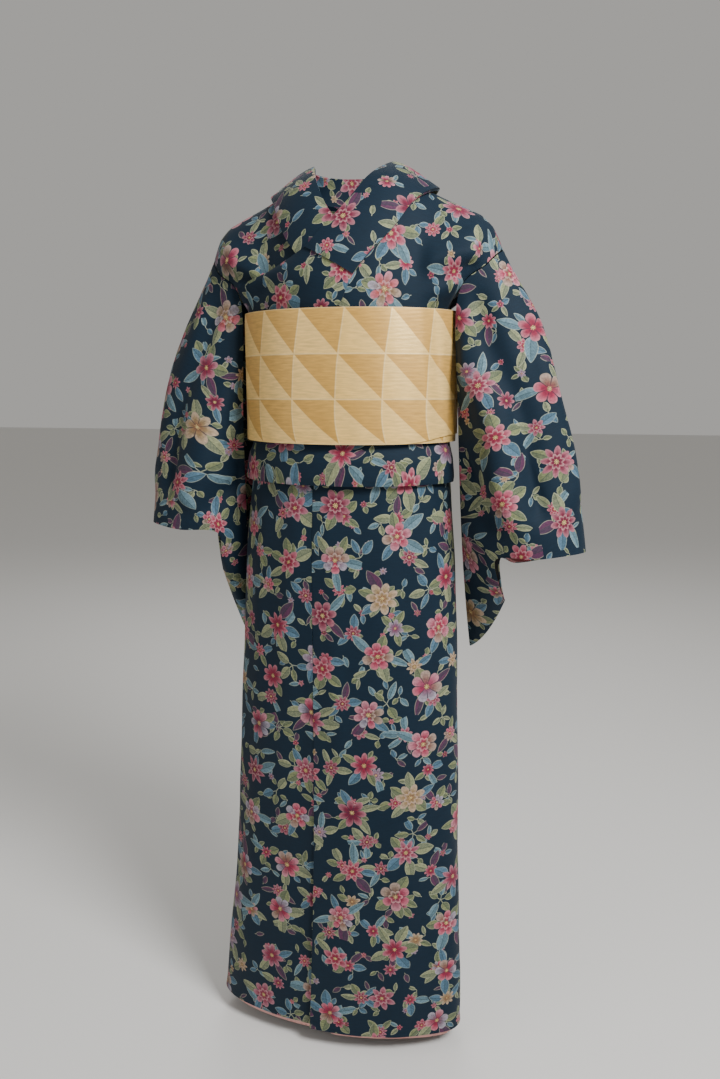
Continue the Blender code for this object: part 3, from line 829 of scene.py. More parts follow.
def sprig_group():
    """Node group that scatters sprigs, each a flower with leaves, over flat cloth."""
    group = Sketch("Sprig", (
        ("Cloth", "v", None),
        ("Cell", "f", 0.09),
        ("Turn", "f", 0.0),
        ("Seed", "f", 0.0),
        ("Flower", "f", 0.02),
        ("Bloom", "f", 1.0),
        ("Leaves", "f", 0.7),
        ("Leaf Length", "f", 0.04),
        ("Leaf Width", "f", 0.006),
        ("Petals", "f", 5.0),
    ), (("Colour", "c"), ("Cover", "f")))
    u, v, _ = group.split(group.given("Cloth"))
    turn = group.given("Turn")
    cell = group.given("Cell")
    seed = group.given("Seed")
    cos = turn.math("COSINE")
    sin = turn.math("SINE")
    x = (u * cos - v * sin) / cell
    y = (u * sin + v * cos) / cell
    column = x.floor()
    y = y + column.math("FLOORED_MODULO", 2.0) * 0.5
    row = y.floor()
    kind, first, second, third = group.chance(column, row, seed)
    has_flower, mixed, _, _ = group.chance(row, column, seed + 41.0)
    px = (x - column - 0.5 - (first - 0.5) * 0.22) * cell
    py = (y - row - 0.5 - (second - 0.5) * 0.22) * cell
    reach = (px * px + py * py).math("SQRT")
    angle = py.math("ARCTAN2", px) / (2.0 * math.pi) + third

    sectors = 5.0
    round_leaf = (angle + 4.0) * sectors
    number = round_leaf.floor()
    leaf_kind, long, broad, bend = group.chance(
        column + seed * 7.0, row, number.math("FLOORED_MODULO", sectors)
    )
    local = (round_leaf - number - 0.5 - (broad - 0.5) * 0.4) * (2.0 * math.pi / sectors)
    lx = reach * local.math("COSINE")
    ly = reach * local.math("SINE") + (bend - 0.5) * 10.0 * lx * lx
    flower = group.given("Flower")
    base = flower * 0.62
    tip = group.given("Leaf Length") * (long * 0.36 + 0.70)
    share = (lx - base) / (tip - base)
    inside = share.above(0.0) * share.below(1.0)
    safe = share.math("MAXIMUM", 0.0).math("MINIMUM", 1.0)
    wide = group.given("Leaf Width") * (broad * 0.5 + 0.75) * 2.5
    half = safe ** 0.62 * safe.flip() ** 0.85 * wide
    rim = half - ly.size()
    present = (leaf_kind * 37.0).part().below(group.given("Leaves"))
    leaf = rim.above(0.0, 0.0005) * inside * present
    stem = ly.size().below(0.0005, 0.0004) * lx.above(0.0) * lx.below(base * 1.4)
    leaf = leaf.math("MAXIMUM", stem * present)
    edge = rim.below(0.0006, 0.0006) * 0.45
    midrib = ly.size().below(0.00035, 0.0005) * safe.below(0.9)
    vein = ((lx - ly.size() * 1.3) / 0.0040).part().below(0.22, 0.2)
    leaf_colour = group.ramp(leaf_kind, LEAF_COLOURS, steps=True)
    shade = (ly + 0.0004).above(0.0, 0.002) * 0.34 + vein * 0.22
    leaf_colour = group.mix(shade, leaf_colour, linear(34, 58, 66))
    leaf_colour = group.mix(midrib * 0.7, leaf_colour, linear(40, 56, 52))
    leaf_colour = group.mix(edge, leaf_colour, linear(206, 208, 176))

    petals = group.given("Petals") + (second * 3.0).floor()
    round_petal = (angle + 4.0) * petals
    petal_number = round_petal.floor()
    own, longer, _, _ = group.chance(
        column * 3.0 + seed, row, petal_number.math("FLOORED_MODULO", petals)
    )
    fold = (round_petal.part() - 0.5).size() * 2.0
    point = has_flower * 2.2 + 1.0
    notch = has_flower * 0.20 - 0.52
    outline = flower * (first * 0.26 + 0.86) * (longer * 0.14 + 0.93)
    outline = outline * (fold.math("POWER", point) * notch + 1.0)
    ring = reach / outline
    bloom = ring.below(1.0, 0.05) * has_flower.below(group.given("Bloom"))
    petal_colour = group.ramp(kind, PETAL_COLOURS, steps=True)
    odd = group.ramp(own, ODD_PETAL_COLOURS, steps=True)
    petal_colour = group.mix(mixed.above(0.55), petal_colour, odd)
    heart_colour = group.ramp(kind, HEART_COLOURS, steps=True)
    streak = ((fold * 2.6).part() - 0.5).size() * 2.0
    tint = group.mix(ring.math("POWER", 1.2), heart_colour, petal_colour)
    tint = group.mix(ring.above(0.75, 0.5) * 0.42, tint, linear(206, 160, 168))
    tint = group.mix(streak.above(0.8, 0.3) * ring.below(0.75, 0.3) * 0.35, tint, heart_colour)
    gap = fold.above(0.88, 0.10) * ring.above(0.30, 0.1)
    tint = group.mix(gap * 0.85, tint, linear(54, 26, 44))
    inner_fold = ((round_petal + 0.5).part() - 0.5).size() * 2.0
    inner_ring = reach / (flower * (inner_fold ** 2.0 * -0.18 + 0.52))
    inner = group.mix((inner_ring ** 1.4) * 0.9, heart_colour, petal_colour)
    inner = group.mix(inner_ring.above(0.78, 0.3) * 0.55, inner, linear(222, 182, 178))
    has_inner = third.above(0.45) * 0.9
    tint = group.mix(inner_ring.below(1.0, 0.1) * has_inner, tint, inner)
    dots = ((angle * 8.0).part() - 0.5).size().above(0.25, 0.1)
    eye = ring.below(0.17, 0.05)
    dotted = dots * ring.above(0.07, 0.04)
    eye_colour = group.mix(dotted, linear(206, 184, 120), linear(126, 62, 52))
    tint = group.mix(eye, tint, eye_colour)
    group.give("Colour", group.mix(bloom, leaf_colour, tint))
    group.give("Cover", leaf.math("MAXIMUM", bloom))
    return group.tree


def weave_group():
    """Node group of a fine plain weave: its height and a slight slub of tone."""
    group = Sketch("Weave", (
        ("Cloth", "v", None),
        ("Thread", "f", 0.0007),
        ("Ribs", "f", 0.5),
    ), (("Height", "f"), ("Slub", "f")))
    u, v, _ = group.split(group.given("Cloth"))
    thread = group.given("Thread")
    warp = (u / thread * math.pi).math("SINE")
    weft = (v / thread * math.pi).math("SINE")
    noise = group.node("ShaderNodeTexNoise", noise_dimensions="3D")
    noise.inputs["Detail"].default_value = 2.0
    noise.inputs["Scale"].default_value = 1.0
    group.join(u / (thread * 22.0), v / (thread * 3.0), 0.0).feed(noise.inputs["Vector"])
    slub = Wire(group.tree, noise.outputs[0])
    ribs = group.given("Ribs")
    group.give("Height", (warp * ribs.flip() + weft * ribs) * 0.5 + slub * 0.8)
    group.give("Slub", slub)
    return group.tree


def print_group(sprigs):
    """Node group of the whole print: three sizes of sprig over a plain ground."""
    group = Sketch("Flower print", (
        ("Cloth", "v", None),
        ("Ground", "c", None),
        ("Repeat", "f", 1.0),
    ), (("Colour", "c"),))
    scale = group.given("Repeat")
    u, v, _ = group.split(group.given("Cloth"))
    cloth = group.join(u / scale, v / scale, 0.0)
    colour = group.given("Ground")
    cover = group.value(0.0)
    layers = (
        (0.033, 0.50, 31.0, 0.0048, 0.34, 0.40, 0.0180, 0.0038, 5.0),
        (0.056, -0.42, 17.0, 0.0105, 0.70, 0.58, 0.0320, 0.0058, 7.0),
        (0.078, 0.16, 5.0, 0.0196, 1.00, 0.66, 0.0430, 0.0076, 6.0),
    )
    for cell, turn, seed, flower, bloom, leaves, length, width, petals in layers:
        node = group.node("ShaderNodeGroup", node_tree=sprigs)
        cloth.feed(node.inputs["Cloth"])
        values = (
            ("Cell", cell), ("Turn", turn), ("Seed", seed), ("Flower", flower),
            ("Bloom", bloom), ("Leaves", leaves), ("Leaf Length", length),
            ("Leaf Width", width), ("Petals", petals),
        )
        for label, value in values:
            node.inputs[label].default_value = value
        mask = Wire(group.tree, node.outputs["Cover"])
        colour = group.mix(mask, colour, Wire(group.tree, node.outputs["Colour"]))
        cover = mask if isinstance(cover.socket, float) else cover.math("MAXIMUM", mask)
    wash = group.node("ShaderNodeTexNoise", noise_dimensions="3D")
    wash.inputs["Scale"].default_value = 320.0
    wash.inputs["Detail"].default_value = 2.0
    cloth.feed(wash.inputs["Vector"])
    worn = (Wire(group.tree, wash.outputs[0]) - 0.22) * 0.95
    colour = group.mix(worn.math("MAXIMUM", 0.0) * cover, colour, group.given("Ground"))
    group.give("Colour", colour)
    return group.tree


def surface(name, roughness, **fixed):
    """New material and its shader, with the values that stay the same all over."""
    material = bpy.data.materials.new(name)
    material.use_nodes = True
    shader = material.node_tree.nodes["Principled BSDF"]
    shader.inputs["Roughness"].default_value = roughness
    for label, value in fixed.items():
        shader.inputs[label.replace("_", " ").title()].default_value = value
    return material, shader


def add_weave(material, shader, thread, ribs, strength, distance):
    """Weave relief on a material, read from the piece's own flat-cloth map."""
    tree = material.node_tree
    where = tree.nodes.new("ShaderNodeUVMap")
    where.uv_map = "Flat cloth"
    threads = tree.nodes.new("ShaderNodeGroup")
    threads.node_tree = bpy.data.node_groups.get("Weave") or weave_group()
    threads.inputs["Thread"].default_value = thread
    threads.inputs["Ribs"].default_value = ribs
    tree.links.new(where.outputs[0], threads.inputs["Cloth"])
    bump = tree.nodes.new("ShaderNodeBump")
    bump.inputs["Strength"].default_value = strength
    bump.inputs["Distance"].default_value = distance
    tree.links.new(threads.outputs["Height"], bump.inputs["Height"])
    tree.links.new(bump.outputs[0], shader.inputs["Normal"])
    return where, threads


def toned(material, threads, colour, amount):
    """Colour of a cloth, toned a little by the slub of its thread."""
    tree = material.node_tree
    ramp = tree.nodes.new("ShaderNodeMapRange")
    ramp.inputs["To Min"].default_value = 1.0 - amount
    ramp.inputs["To Max"].default_value = 1.0 + amount
    tree.links.new(threads.outputs["Slub"], ramp.inputs["Value"])
    ramp.inputs["From Min"].default_value = SLUB_LOW
    ramp.inputs["From Max"].default_value = SLUB_HIGH
    scale = tree.nodes.new("ShaderNodeVectorMath")
    scale.operation = "SCALE"
    tree.links.new(ramp.outputs[0], scale.inputs["Scale"])
    if isinstance(colour, tuple):
        scale.inputs[0].default_value = colour[:3]
    else:
        tree.links.new(colour, scale.inputs[0])
    return scale.outputs[0]


def printed_cloth():
    """Material of the printed cloth."""
    found = bpy.data.materials.get("Printed cloth")
    if found:
        return found
    looks = bpy.context.scene.kimono_cloth
    material, shader = surface("Printed cloth", 0.72, sheen_weight=0.03, sheen_roughness=0.5)
    shader.inputs["Specular IOR Level"].default_value = 0.18
    where, threads = add_weave(material, shader, 0.0006, 0.5, 0.35, 0.00025)
    tree = material.node_tree
    flowers = tree.nodes.new("ShaderNodeGroup")
    flowers.node_tree = print_group(sprig_group())
    flowers.inputs["Ground"].default_value = (*looks.ground, 1.0)
    flowers.inputs["Repeat"].default_value = looks.print_scale
    tree.links.new(where.outputs[0], flowers.inputs["Cloth"])
    colour = toned(material, threads, flowers.outputs["Colour"], 0.10)
    tree.links.new(colour, shader.inputs["Base Color"])
    return material


def lining_cloth(name, colour):
    """Plain silky lining material."""
    found = bpy.data.materials.get(name)
    if found:
        return found
    material, shader = surface(name, 0.48, sheen_weight=0.15, sheen_roughness=0.4)
    _, threads = add_weave(material, shader, 0.0005, 0.6, 0.3, 0.0002)
    tone = toned(material, threads, colour, 0.12)
    material.node_tree.links.new(tone, shader.inputs["Base Color"])
    return material


def obi_group():
    """Node group of the belt's squares, each split corner to corner in two tones."""
    group = Sketch("Split squares", (
        ("Cloth", "v", None),
        ("Width", "f", 0.059),
        ("Height", "f", 0.0563),
        ("Light", "c", None),
        ("Dark", "c", None),
        ("Line", "c", None),
    ), (("Colour", "c"), ("Dark Half", "f")))
    u, v, _ = group.split(group.given("Cloth"))
    s = (u + v * 0.03) / group.given("Width") + 0.5
    t = v / group.given("Height")
    column = s.floor()
    row = t.floor()
    s = s - column
    t = t - row
    tone, _, _, _ = group.chance(column, row, 3.0)
    dark = (s - t).above(0.0, 0.02)
    near_s = (s - 0.5).size().above(0.487, 0.014)
    near_t = (t - 0.5).size().above(0.487, 0.014)
    line = near_s.math("MAXIMUM", near_t)
    fade = (s + t.flip()) * 0.5
    light = group.mix(fade * 0.35 + tone * 0.12, group.given("Light"), group.given("Line"))
    deep = group.mix(fade * 0.45 + tone * 0.10, group.given("Dark"), group.given("Light"))
    colour = group.mix(dark, light, deep)
    group.give("Colour", group.mix(line * 0.6, colour, group.given("Line")))
    group.give("Dark Half", dark)
    return group.tree


def obi_satin():
    """Material of the belt: gold satin with fine cross ribs."""
    looks = bpy.context.scene.kimono_cloth
    material, shader = surface("Obi satin", 0.42, metallic=0.22, sheen_weight=0.1)
    where, threads = add_weave(material, shader, 0.0008, 0.9, 0.4, 0.0003)
    tree = material.node_tree
    squares = tree.nodes.new("ShaderNodeGroup")
    squares.node_tree = obi_group()
    squares.inputs["Light"].default_value = (*looks.obi_light, 1.0)
    squares.inputs["Dark"].default_value = (*looks.obi_dark, 1.0)
    squares.inputs["Line"].default_value = linear(240, 212, 154)
    tree.links.new(where.outputs[0], squares.inputs["Cloth"])
    colour = toned(material, threads, squares.outputs["Colour"], 0.14)
    tree.links.new(colour, shader.inputs["Base Color"])
    gloss = tree.nodes.new("ShaderNodeMapRange")
    gloss.inputs["To Min"].default_value = 0.36
    gloss.inputs["To Max"].default_value = 0.46
    tree.links.new(squares.outputs["Dark Half"], gloss.inputs["Value"])
    tree.links.new(gloss.outputs[0], shader.inputs["Roughness"])
    return material


def body_axis(points):
    """Point on the body's axis beside each point."""
    inside = points.copy()
    inside[..., 0] = 0.0
    inside[..., 1] = 0.004
    return inside


def sleeve_core(points):
    """Point inside the sleeve beside each point."""
    return np.broadcast_to(points.mean(axis=1, keepdims=True), points.shape)


def skirt_shape(first, last, hem, side, over):
    """Placing function of a skirt panel between two angles."""

    def place(across, down):
        height = blend(SKIRT_TOP, hem, down)
        start = first(height) if callable(first) else first + np.zeros_like(height)
        end = last(height) if callable(last) else last + np.zeros_like(height)
        pull = np.degrees(SEAM / lookup(SECTIONS, height)[0]) * np.sign(end - start)
        angle = blend(start + pull, end - pull, across)
        out = skirt_out(angle, height, side, over) + CLOTH / 2.0
        return torso(angle, height - CHEST_HEIGHT, out)

    return place


def bodice_shape(side):
    """Placing function of a body panel from its tuck over the shoulder and down."""
    tuck = (TUCK_END, -0.314, TUCK_BOTTOM, -0.314, -0.298, -0.272)
    front = (-0.250, -0.230, -0.210, -0.190, -0.170, -0.150, -0.125, -0.101)
    back = (-0.230, -0.190, -0.150, -0.125, -0.101)
    rise = (0.06, 0.15, 0.25, 0.36, 0.50, 0.66, 0.83, 1.0)
    fall = (0.84, 0.72, 0.62, 0.50, 0.36, 0.25, 0.15, 0.06)
    rows = [(1.0, height - CHEST_HEIGHT) for height in tuck + front]
    rows += [(1.0, arch) for arch in rise]
    rows += [(-1.0, arch) for arch in fall]
    rows += [(-1.0, height - CHEST_HEIGHT) for height in (tuck + back)[::-1]]
    last = len(rows) - 1
    fold = 2
    top = len(tuck) + len(front) + len(rise) - 1
    levels = np.array([row[1] for row in rows])
    sides = np.array([row[0] for row in rows])
    line = torso(90.0 - 45.0 * sides, levels, np.zeros(len(rows)))
    marks = np.append(0.0, np.cumsum(np.linalg.norm(np.diff(line, axis=0), axis=-1)))

    def place(across, down):
        position = np.interp(down * marks[-1], marks, np.arange(last + 1.0))
        index = np.clip(position.astype(int), 0, last - 1)
        share = position - index
        level = blend(levels[index], levels[index + 1], share)
        facing = np.where(position <= top, 1.0, -1.0)
        ends = np.minimum(position, last - position)
        turned = smooth((ends - (fold - 1)) / 2.0)
        outer = blend(90.0, SIDE_SEAM, np.clip(-level / 0.05, 0.0, 1.0))
        outer = (outer - 0.25 * facing) * side
        neck = (CENTRE_BACK - lookup(BACK_NECKLINE, level)[0] * 90.0) * side
        inner = np.where(facing > 0.0, panel_edge(level, side), neck)
        angle = blend(outer, inner, across)
        folded = bodice_out(angle, level, side, True)
        plain = bodice_out(angle, level, side, False)
        out = blend(folded, plain, turned) + CLOTH / 2.0
        point = torso(angle, level, out)
        pull_front = armhole_pull(angle, level, side, 1.0)
        pull_back = armhole_pull(angle, level, side, -1.0)
        point = point + np.where((facing > 0.0)[..., None], pull_front, pull_back)
        near = smooth(1.0 - (180.0 - np.abs(angle)) / NAPE_FADE)
        stand = NAPE_STAND * near * smooth((level - 0.2) / 0.4)
        point[..., 1] += np.where(facing > 0.0, 0.0, stand)
        return point

    return place


def collar_shape(start, lift):
    """Placing function of a band of collar cloth."""
    half = len(COLLAR_FRONT) + len(COLLAR_BACK) - 1
    order = [(index, 1.0) for index in range(half + 1)]
    order += [(index, -1.0) for index in range(half - 1, -1, -1)]
    end = len(order) - 1 - OVER_COLLAR_START

    def spot(position, across):
        path = np.stack([collar_station(index, across, side) for index, side in order])
        index = np.clip(position.astype(int), 0, len(order) - 2)
        share = (position - index)[..., None]
        grid = np.indices(across.shape)
        pick = [path[np.clip(index + step, 0, len(order) - 1), grid[0], grid[1]] for step in
                (-1, 0, 1, 2)]
        before, first, last, after = pick
        before = np.where((index > 0)[..., None], before, first * 2.0 - last)
        after = np.where((index + 2 < len(order))[..., None], after, last * 2.0 - first)
        square = share * share
        cube = square * share
        return (
            first * (2.0 * cube - 3.0 * square + 1.0)
            + (last - before) * 0.5 * (cube - 2.0 * square + share)
            + last * (3.0 * square - 2.0 * cube)
            + (after - first) * 0.5 * (cube - square)
        )

    def place(across, down):
        position = blend(float(start), float(end), down)
        point = spot(position, across)
        ahead = spot(np.minimum(len(order) - 1.0, position + 0.1), across)
        behind = spot(np.maximum(0.0, position - 0.1), across)
        inward = spot(position, np.minimum(1.0, across + 0.05))
        inward = inward - spot(position, np.maximum(0.0, across - 0.05))
        normal = np.cross(ahead - behind, inward)
        normal = normal / np.linalg.norm(normal, axis=-1, keepdims=True)
        bow = 0.0010 * np.sin(math.pi * across)
        return point + normal * (bow + lift)[..., None]

    return place


def obi_shape(along, down):
    """Places of the belt's two turns."""
    angle = OBI_START - 360.0 * OBI_TURNS * along
    wrapped = np.mod(angle + 180.0, 360.0) - 180.0
    height = blend(OBI_TOP, OBI_BOTTOM, down)
    gap = blend(OBI_BACK_GAP, OBI_FRONT_GAP, smooth((98.0 - np.abs(wrapped)) / 14.0))
    out = gap + OBI_CLOTH / 2.0 + OBI_TURN * along * OBI_TURNS
    point = torso(wrapped, height - CHEST_HEIGHT, out)
    outer_turn = smooth((along * OBI_TURNS - 0.95) / 0.1)
    rise = smooth((wrapped - 35.0) / 45.0) * smooth((150.0 - wrapped) / 40.0)
    point[..., 2] += 0.010 * outer_turn * rise * down
    return point


def hem_lining_shape(along, down):
    """Places of the lining strip inside the hem."""
    turn = blend(-FRONT_EDGE + 1.0, 360.0 + UNDER_EDGE - 1.0, along)
    angle = np.mod(turn + 180.0, 360.0) - 180.0
    over = turn <= SIDE_SEAM
    under = smooth((turn - 200.0) / 60.0)
    bottom = blend(HEM_HEIGHT - 0.0055, UNDER_HEM_HEIGHT - 0.0045, under)
    height = blend(bottom + 0.030, bottom, down)
    near = angle - gore_seam_angle(height, 1.0)
    hidden = gore_step(angle, height, 1.0) * (1.0 - smooth((near - 6.5) / 5.0))
    out = np.where(over, skirt_out(angle, height, 1.0, True) - hidden, 0.0)
    return torso(angle, height - CHEST_HEIGHT, out - CLOTH * 1.2)


class KimonoClothSettings(bpy.types.PropertyGroup):
    """Colours and print of the cloth."""

    ground: FloatVectorProperty(
        name="Ground", description="Colour of the printed cloth between its flowers",
        subtype="COLOR", size=3, min=0.0, max=1.0, default=linear(8, 29, 44)[:3],
    )
    print_scale: FloatProperty(
        name="Print scale", description="Size of the print's flowers, 1 as made",
        default=1.0, min=0.3, max=3.0,
    )
    lining: FloatVectorProperty(
        name="Lining", description="Colour of the lining at the hem",
        subtype="COLOR", size=3, min=0.0, max=1.0, default=linear(206, 150, 142)[:3],
    )
    cuff_lining: FloatVectorProperty(
        name="Cuff lining", description="Colour of the lining inside the sleeves",
        subtype="COLOR", size=3, min=0.0, max=1.0, default=linear(150, 66, 70)[:3],
    )
    obi_light: FloatVectorProperty(
        name="Obi light half", description="Lighter half of the belt's squares",
        subtype="COLOR", size=3, min=0.0, max=1.0, default=linear(230, 188, 104)[:3],
    )
    obi_dark: FloatVectorProperty(
        name="Obi dark half", description="Darker half of the belt's squares",
        subtype="COLOR", size=3, min=0.0, max=1.0, default=linear(176, 128, 46)[:3],
    )


class KimonoDrapeSettings(bpy.types.PropertyGroup):
    """How the cloth hangs."""

    crease: FloatProperty(
        name="Creases", description="Depth of the creases, 1 as made",
        default=1.0, min=0.0, max=1.5,
    )
    swell: FloatProperty(
        name="Unevenness", description="Low waves of the hanging cloth",
        default=0.0009, min=0.0, max=0.003, unit="LENGTH",
    )


class KimonoStageSettings(bpy.types.PropertyGroup):
    """Floor, light and camera."""

    floor_size: FloatProperty(
        name="Floor size", description="Side of the square floor",
        default=40.0, min=4.0, max=80.0, unit="LENGTH",
    )
    key_power: FloatProperty(
        name="Key light", description="Power of the large soft light in front",
        default=78.0, min=0.0, max=400.0, unit="POWER",
    )
    lens: FloatProperty(
        name="Lens", description="Focal length of the camera",
        default=29.96, min=15.0, max=120.0, unit="CAMERA",
    )


class KIMONO_OT_skirt(bpy.types.Operator):
    """Hang the six panels of the skirt"""

    bl_idname = "kimono.skirt"
    bl_label = "Skirt panels"

    def execute(self, context):
        swell = context.scene.kimono_drape.swell

        def left_seam(height):
            return gore_seam_angle(height, 1.0)

        def right_seam(height):
            return gore_seam_angle(height, -1.0)

        panels = (
            ("skirt_back_left", 180.0, SIDE_SEAM, HEM_HEIGHT, 1.0, False, 0.216, (0.31, 0.0)),
            ("skirt_back_right", -180.0, -SIDE_SEAM, HEM_HEIGHT, -1.0, False, 0.216,
             (1.37, 0.2)),
            ("skirt_front_right", -SIDE_SEAM, right_seam, UNDER_HEM_HEIGHT, -1.0, False, 0.241,
             (2.21, 0.4)),
            ("okumi_right", right_seam, UNDER_EDGE, UNDER_HEM_HEIGHT, -1.0, False, 0.150,
             (3.13, 0.1)),
            ("skirt_front_left", SIDE_SEAM, left_seam, HEM_HEIGHT, 1.0, True, 0.257, (4.02, 0.3)),
            ("okumi_left", left_seam, -FRONT_EDGE, HEM_HEIGHT, 1.0, True, 0.175, (5.17, 0.6)),
        )
        for name, first, last, hem, side, over, width, start in panels:
            place = skirt_shape(first, last, hem, side, over)
            piece = make_cloth(
                name, 48, 110, place, CLOTH, printed_cloth(), start,
                outward=body_axis, swell=swell if "right" not in name or "back" in name else 0.0,
                wave=0.16, shape=skirt_hem_roll,
                keep=lambda across, down: smooth((down + 0.02) / 0.10),
            )
            finish_piece(
                piece, name
            )
        return {"FINISHED"}


def skirt_hem_roll(across, down, width, length):
    """Slight fullness of the hem over its lining, and a flat edge at each seam."""
    hem = 0.0007 * np.exp(-((1.0 - down) * 0.87 / 0.006) ** 2)
    edge = np.minimum(width, width[:, -1:] - width)
    return hem - 0.0005 * np.exp(-(edge / 0.003) ** 2)


class KIMONO_OT_bodice(bpy.types.Operator):
    """Hang the two body panels with their waist tuck"""

    bl_idname = "kimono.bodice"
    bl_label = "Bodice"

    def execute(self, context):
        swell = context.scene.kimono_drape.swell
        panels = (("bodice_left", 1.0, (6.1, 0.0)), ("bodice_right", -1.0, (7.3, 0.5)))
        for name, side, start in panels:
            piece = make_cloth(
                name, 64, 170, bodice_shape(side), CLOTH, printed_cloth(), start,
                outward=body_axis, swell=swell * 0.6, wave=0.12,
                keep=lambda across, down: smooth(np.minimum(across, 1.0 - across) / 0.05),
            )
            finish_piece(
                piece, name
            )
        return {"FINISHED"}


class KIMONO_OT_collar(bpy.types.Operator):
    """Fold the collar and its over-collar"""

    bl_idname = "kimono.collar"
    bl_label = "Collar"

    def execute(self, context):
        cover = (COLLAR_CLOTH + CLOTH) / 2.0 + 2.0 * SEAM
        bands = (
            ("collar", 0, 0.0, COLLAR_CLOTH, (8.2, 0.0), (0.075, 0.76)),
            ("over_collar", OVER_COLLAR_START, cover, CLOTH, (9.4, 0.3), (0.065, 0.66)),
        )
        for name, first, lift, thickness, start, flat in bands:
            piece = make_cloth(
                name, 20, 170, collar_shape(first, lift), thickness, printed_cloth(), start,
                outward=collar_core, shape=collar_roll,
            )
            finish_piece(piece, name)
        return {"FINISHED"}


def collar_core(points):
    """Point inside the garment beside each point of the collar."""
    inside = points.copy()
    inside[..., 0] *= 0.55
    inside[..., 1] = 0.01
    inside[..., 2] -= 0.03
    return inside


def collar_roll(across, down, width, length):
    """Soft pads of the folded band, lower along its sewn edge."""
    pad = 0.0009 * np.sin(math.pi * across) ** 0.7
    pull = 0.0003 * np.sin(length * 95.0) * np.exp(-(across / 0.12) ** 2)
    return pad + pull


class KIMONO_OT_sleeves(bpy.types.Operator):
    """Hang the two sleeve bags"""

    bl_idname = "kimono.sleeves"
    bl_label = "Sleeves"

    def execute(self, context):
        swell = context.scene.kimono_drape.swell
        bags = (("sleeve_left", 1.0, (10.2, 0.0)), ("sleeve_right", -1.0, (11.5, 0.7)))
        for name, side, start in bags:

            def place(across, down, side=side):
                return sleeve_point(blend(-1.0, 1.0, across), blend(0.004, 1.0, down), side)

            piece = make_cloth(
                name, 160, 60, place, CLOTH, printed_cloth(), start,
                outward=sleeve_core, swell=swell, wave=0.13, tube=True,
                keep=lambda across, down: smooth(down / 0.10) * smooth((0.90 - down) / 0.14)
                * smooth((0.5 - np.abs(across - 0.5)) / 0.10),
            )
            finish_piece(
                piece, name,
            )
        return {"FINISHED"}


class KIMONO_OT_linings(bpy.types.Operator):
    """Line the cuffs and the hem where the lining shows"""

    bl_idname = "kimono.linings"
    bl_label = "Linings"

    def execute(self, context):
        looks = context.scene.kimono_cloth
        cuff = lining_cloth("Cuff lining", (*looks.cuff_lining, 1.0))
        hem = lining_cloth("Hem lining", (*looks.lining, 1.0))
        reach = CUFF_COLUMNS / SLEEVE_COLUMNS
        deep = 1.0 - 1.0 / SLEEVE_ROWS
        for name, side in (("cuff_lining_left", 1.0), ("cuff_lining_right", -1.0)):

            def place(across, down, side=side):
                turn = blend(-reach, reach, across)
                share = blend(deep, 0.998, down)
                point = sleeve_point(turn, share, side)
                around = sleeve_point(turn + 0.01, share, side)
                around = around - sleeve_point(turn - 0.01, share, side)
                inward = point - sleeve_point(turn, share - 0.02, side)
                normal = np.cross(inward, around)
                normal = normal / np.linalg.norm(normal, axis=-1, keepdims=True)
                return point + normal * LAYER * 0.85 * side

            piece = make_cloth(name, 84, 8, place, CLOTH * 0.8, cuff, outward=sleeve_core)
            finish_piece(
                piece, name,
            )
        piece = make_cloth(
            "hem_lining", 260, 6, hem_lining_shape, CLOTH * 0.8, hem, outward=body_axis
        )
        finish_piece(
            piece, "hem_lining"
        )
        return {"FINISHED"}


class KIMONO_OT_obi(bpy.types.Operator):
    """Wrap the belt"""

    bl_idname = "kimono.obi"
    bl_label = "Obi"

    def execute(self, context):
        piece = make_cloth(
            "obi", 330, 34, obi_shape, OBI_CLOTH, obi_satin(), outward=body_axis,
            shape=obi_give, summed=True,
        )
        layer = piece.data.uv_layers["Flat cloth"].data
        widest = max(item.uv[0] for item in layer)
        front = widest * (OBI_START + 360.0) / (360.0 * OBI_TURNS)
        for item in layer:
            item.uv = (front - item.uv[0], item.uv[1])
        finish_piece(piece, "obi")
        return {"FINISHED"}


def obi_give(across, down, width, length):
    """Slight give of the stiff belt: rounded edges, a low swell and a few buckles."""
    edge = np.minimum(down, 1.0 - down)
    give = 0.0010 * np.sin(math.pi * down) - 0.0005 * np.exp(-(edge / 0.03) ** 2)
    angle = np.mod(OBI_START + 180.0 - 360.0 * OBI_TURNS * across, 360.0) - 180.0
    for centre, wide, deep, lean in OBI_BUCKLES:
        aside = (angle - centre - lean * (down - 0.5)) / wide
        give = give + deep * np.exp(-aside ** 2) * (0.35 + 0.65 * np.sin(math.pi * down))
    return give


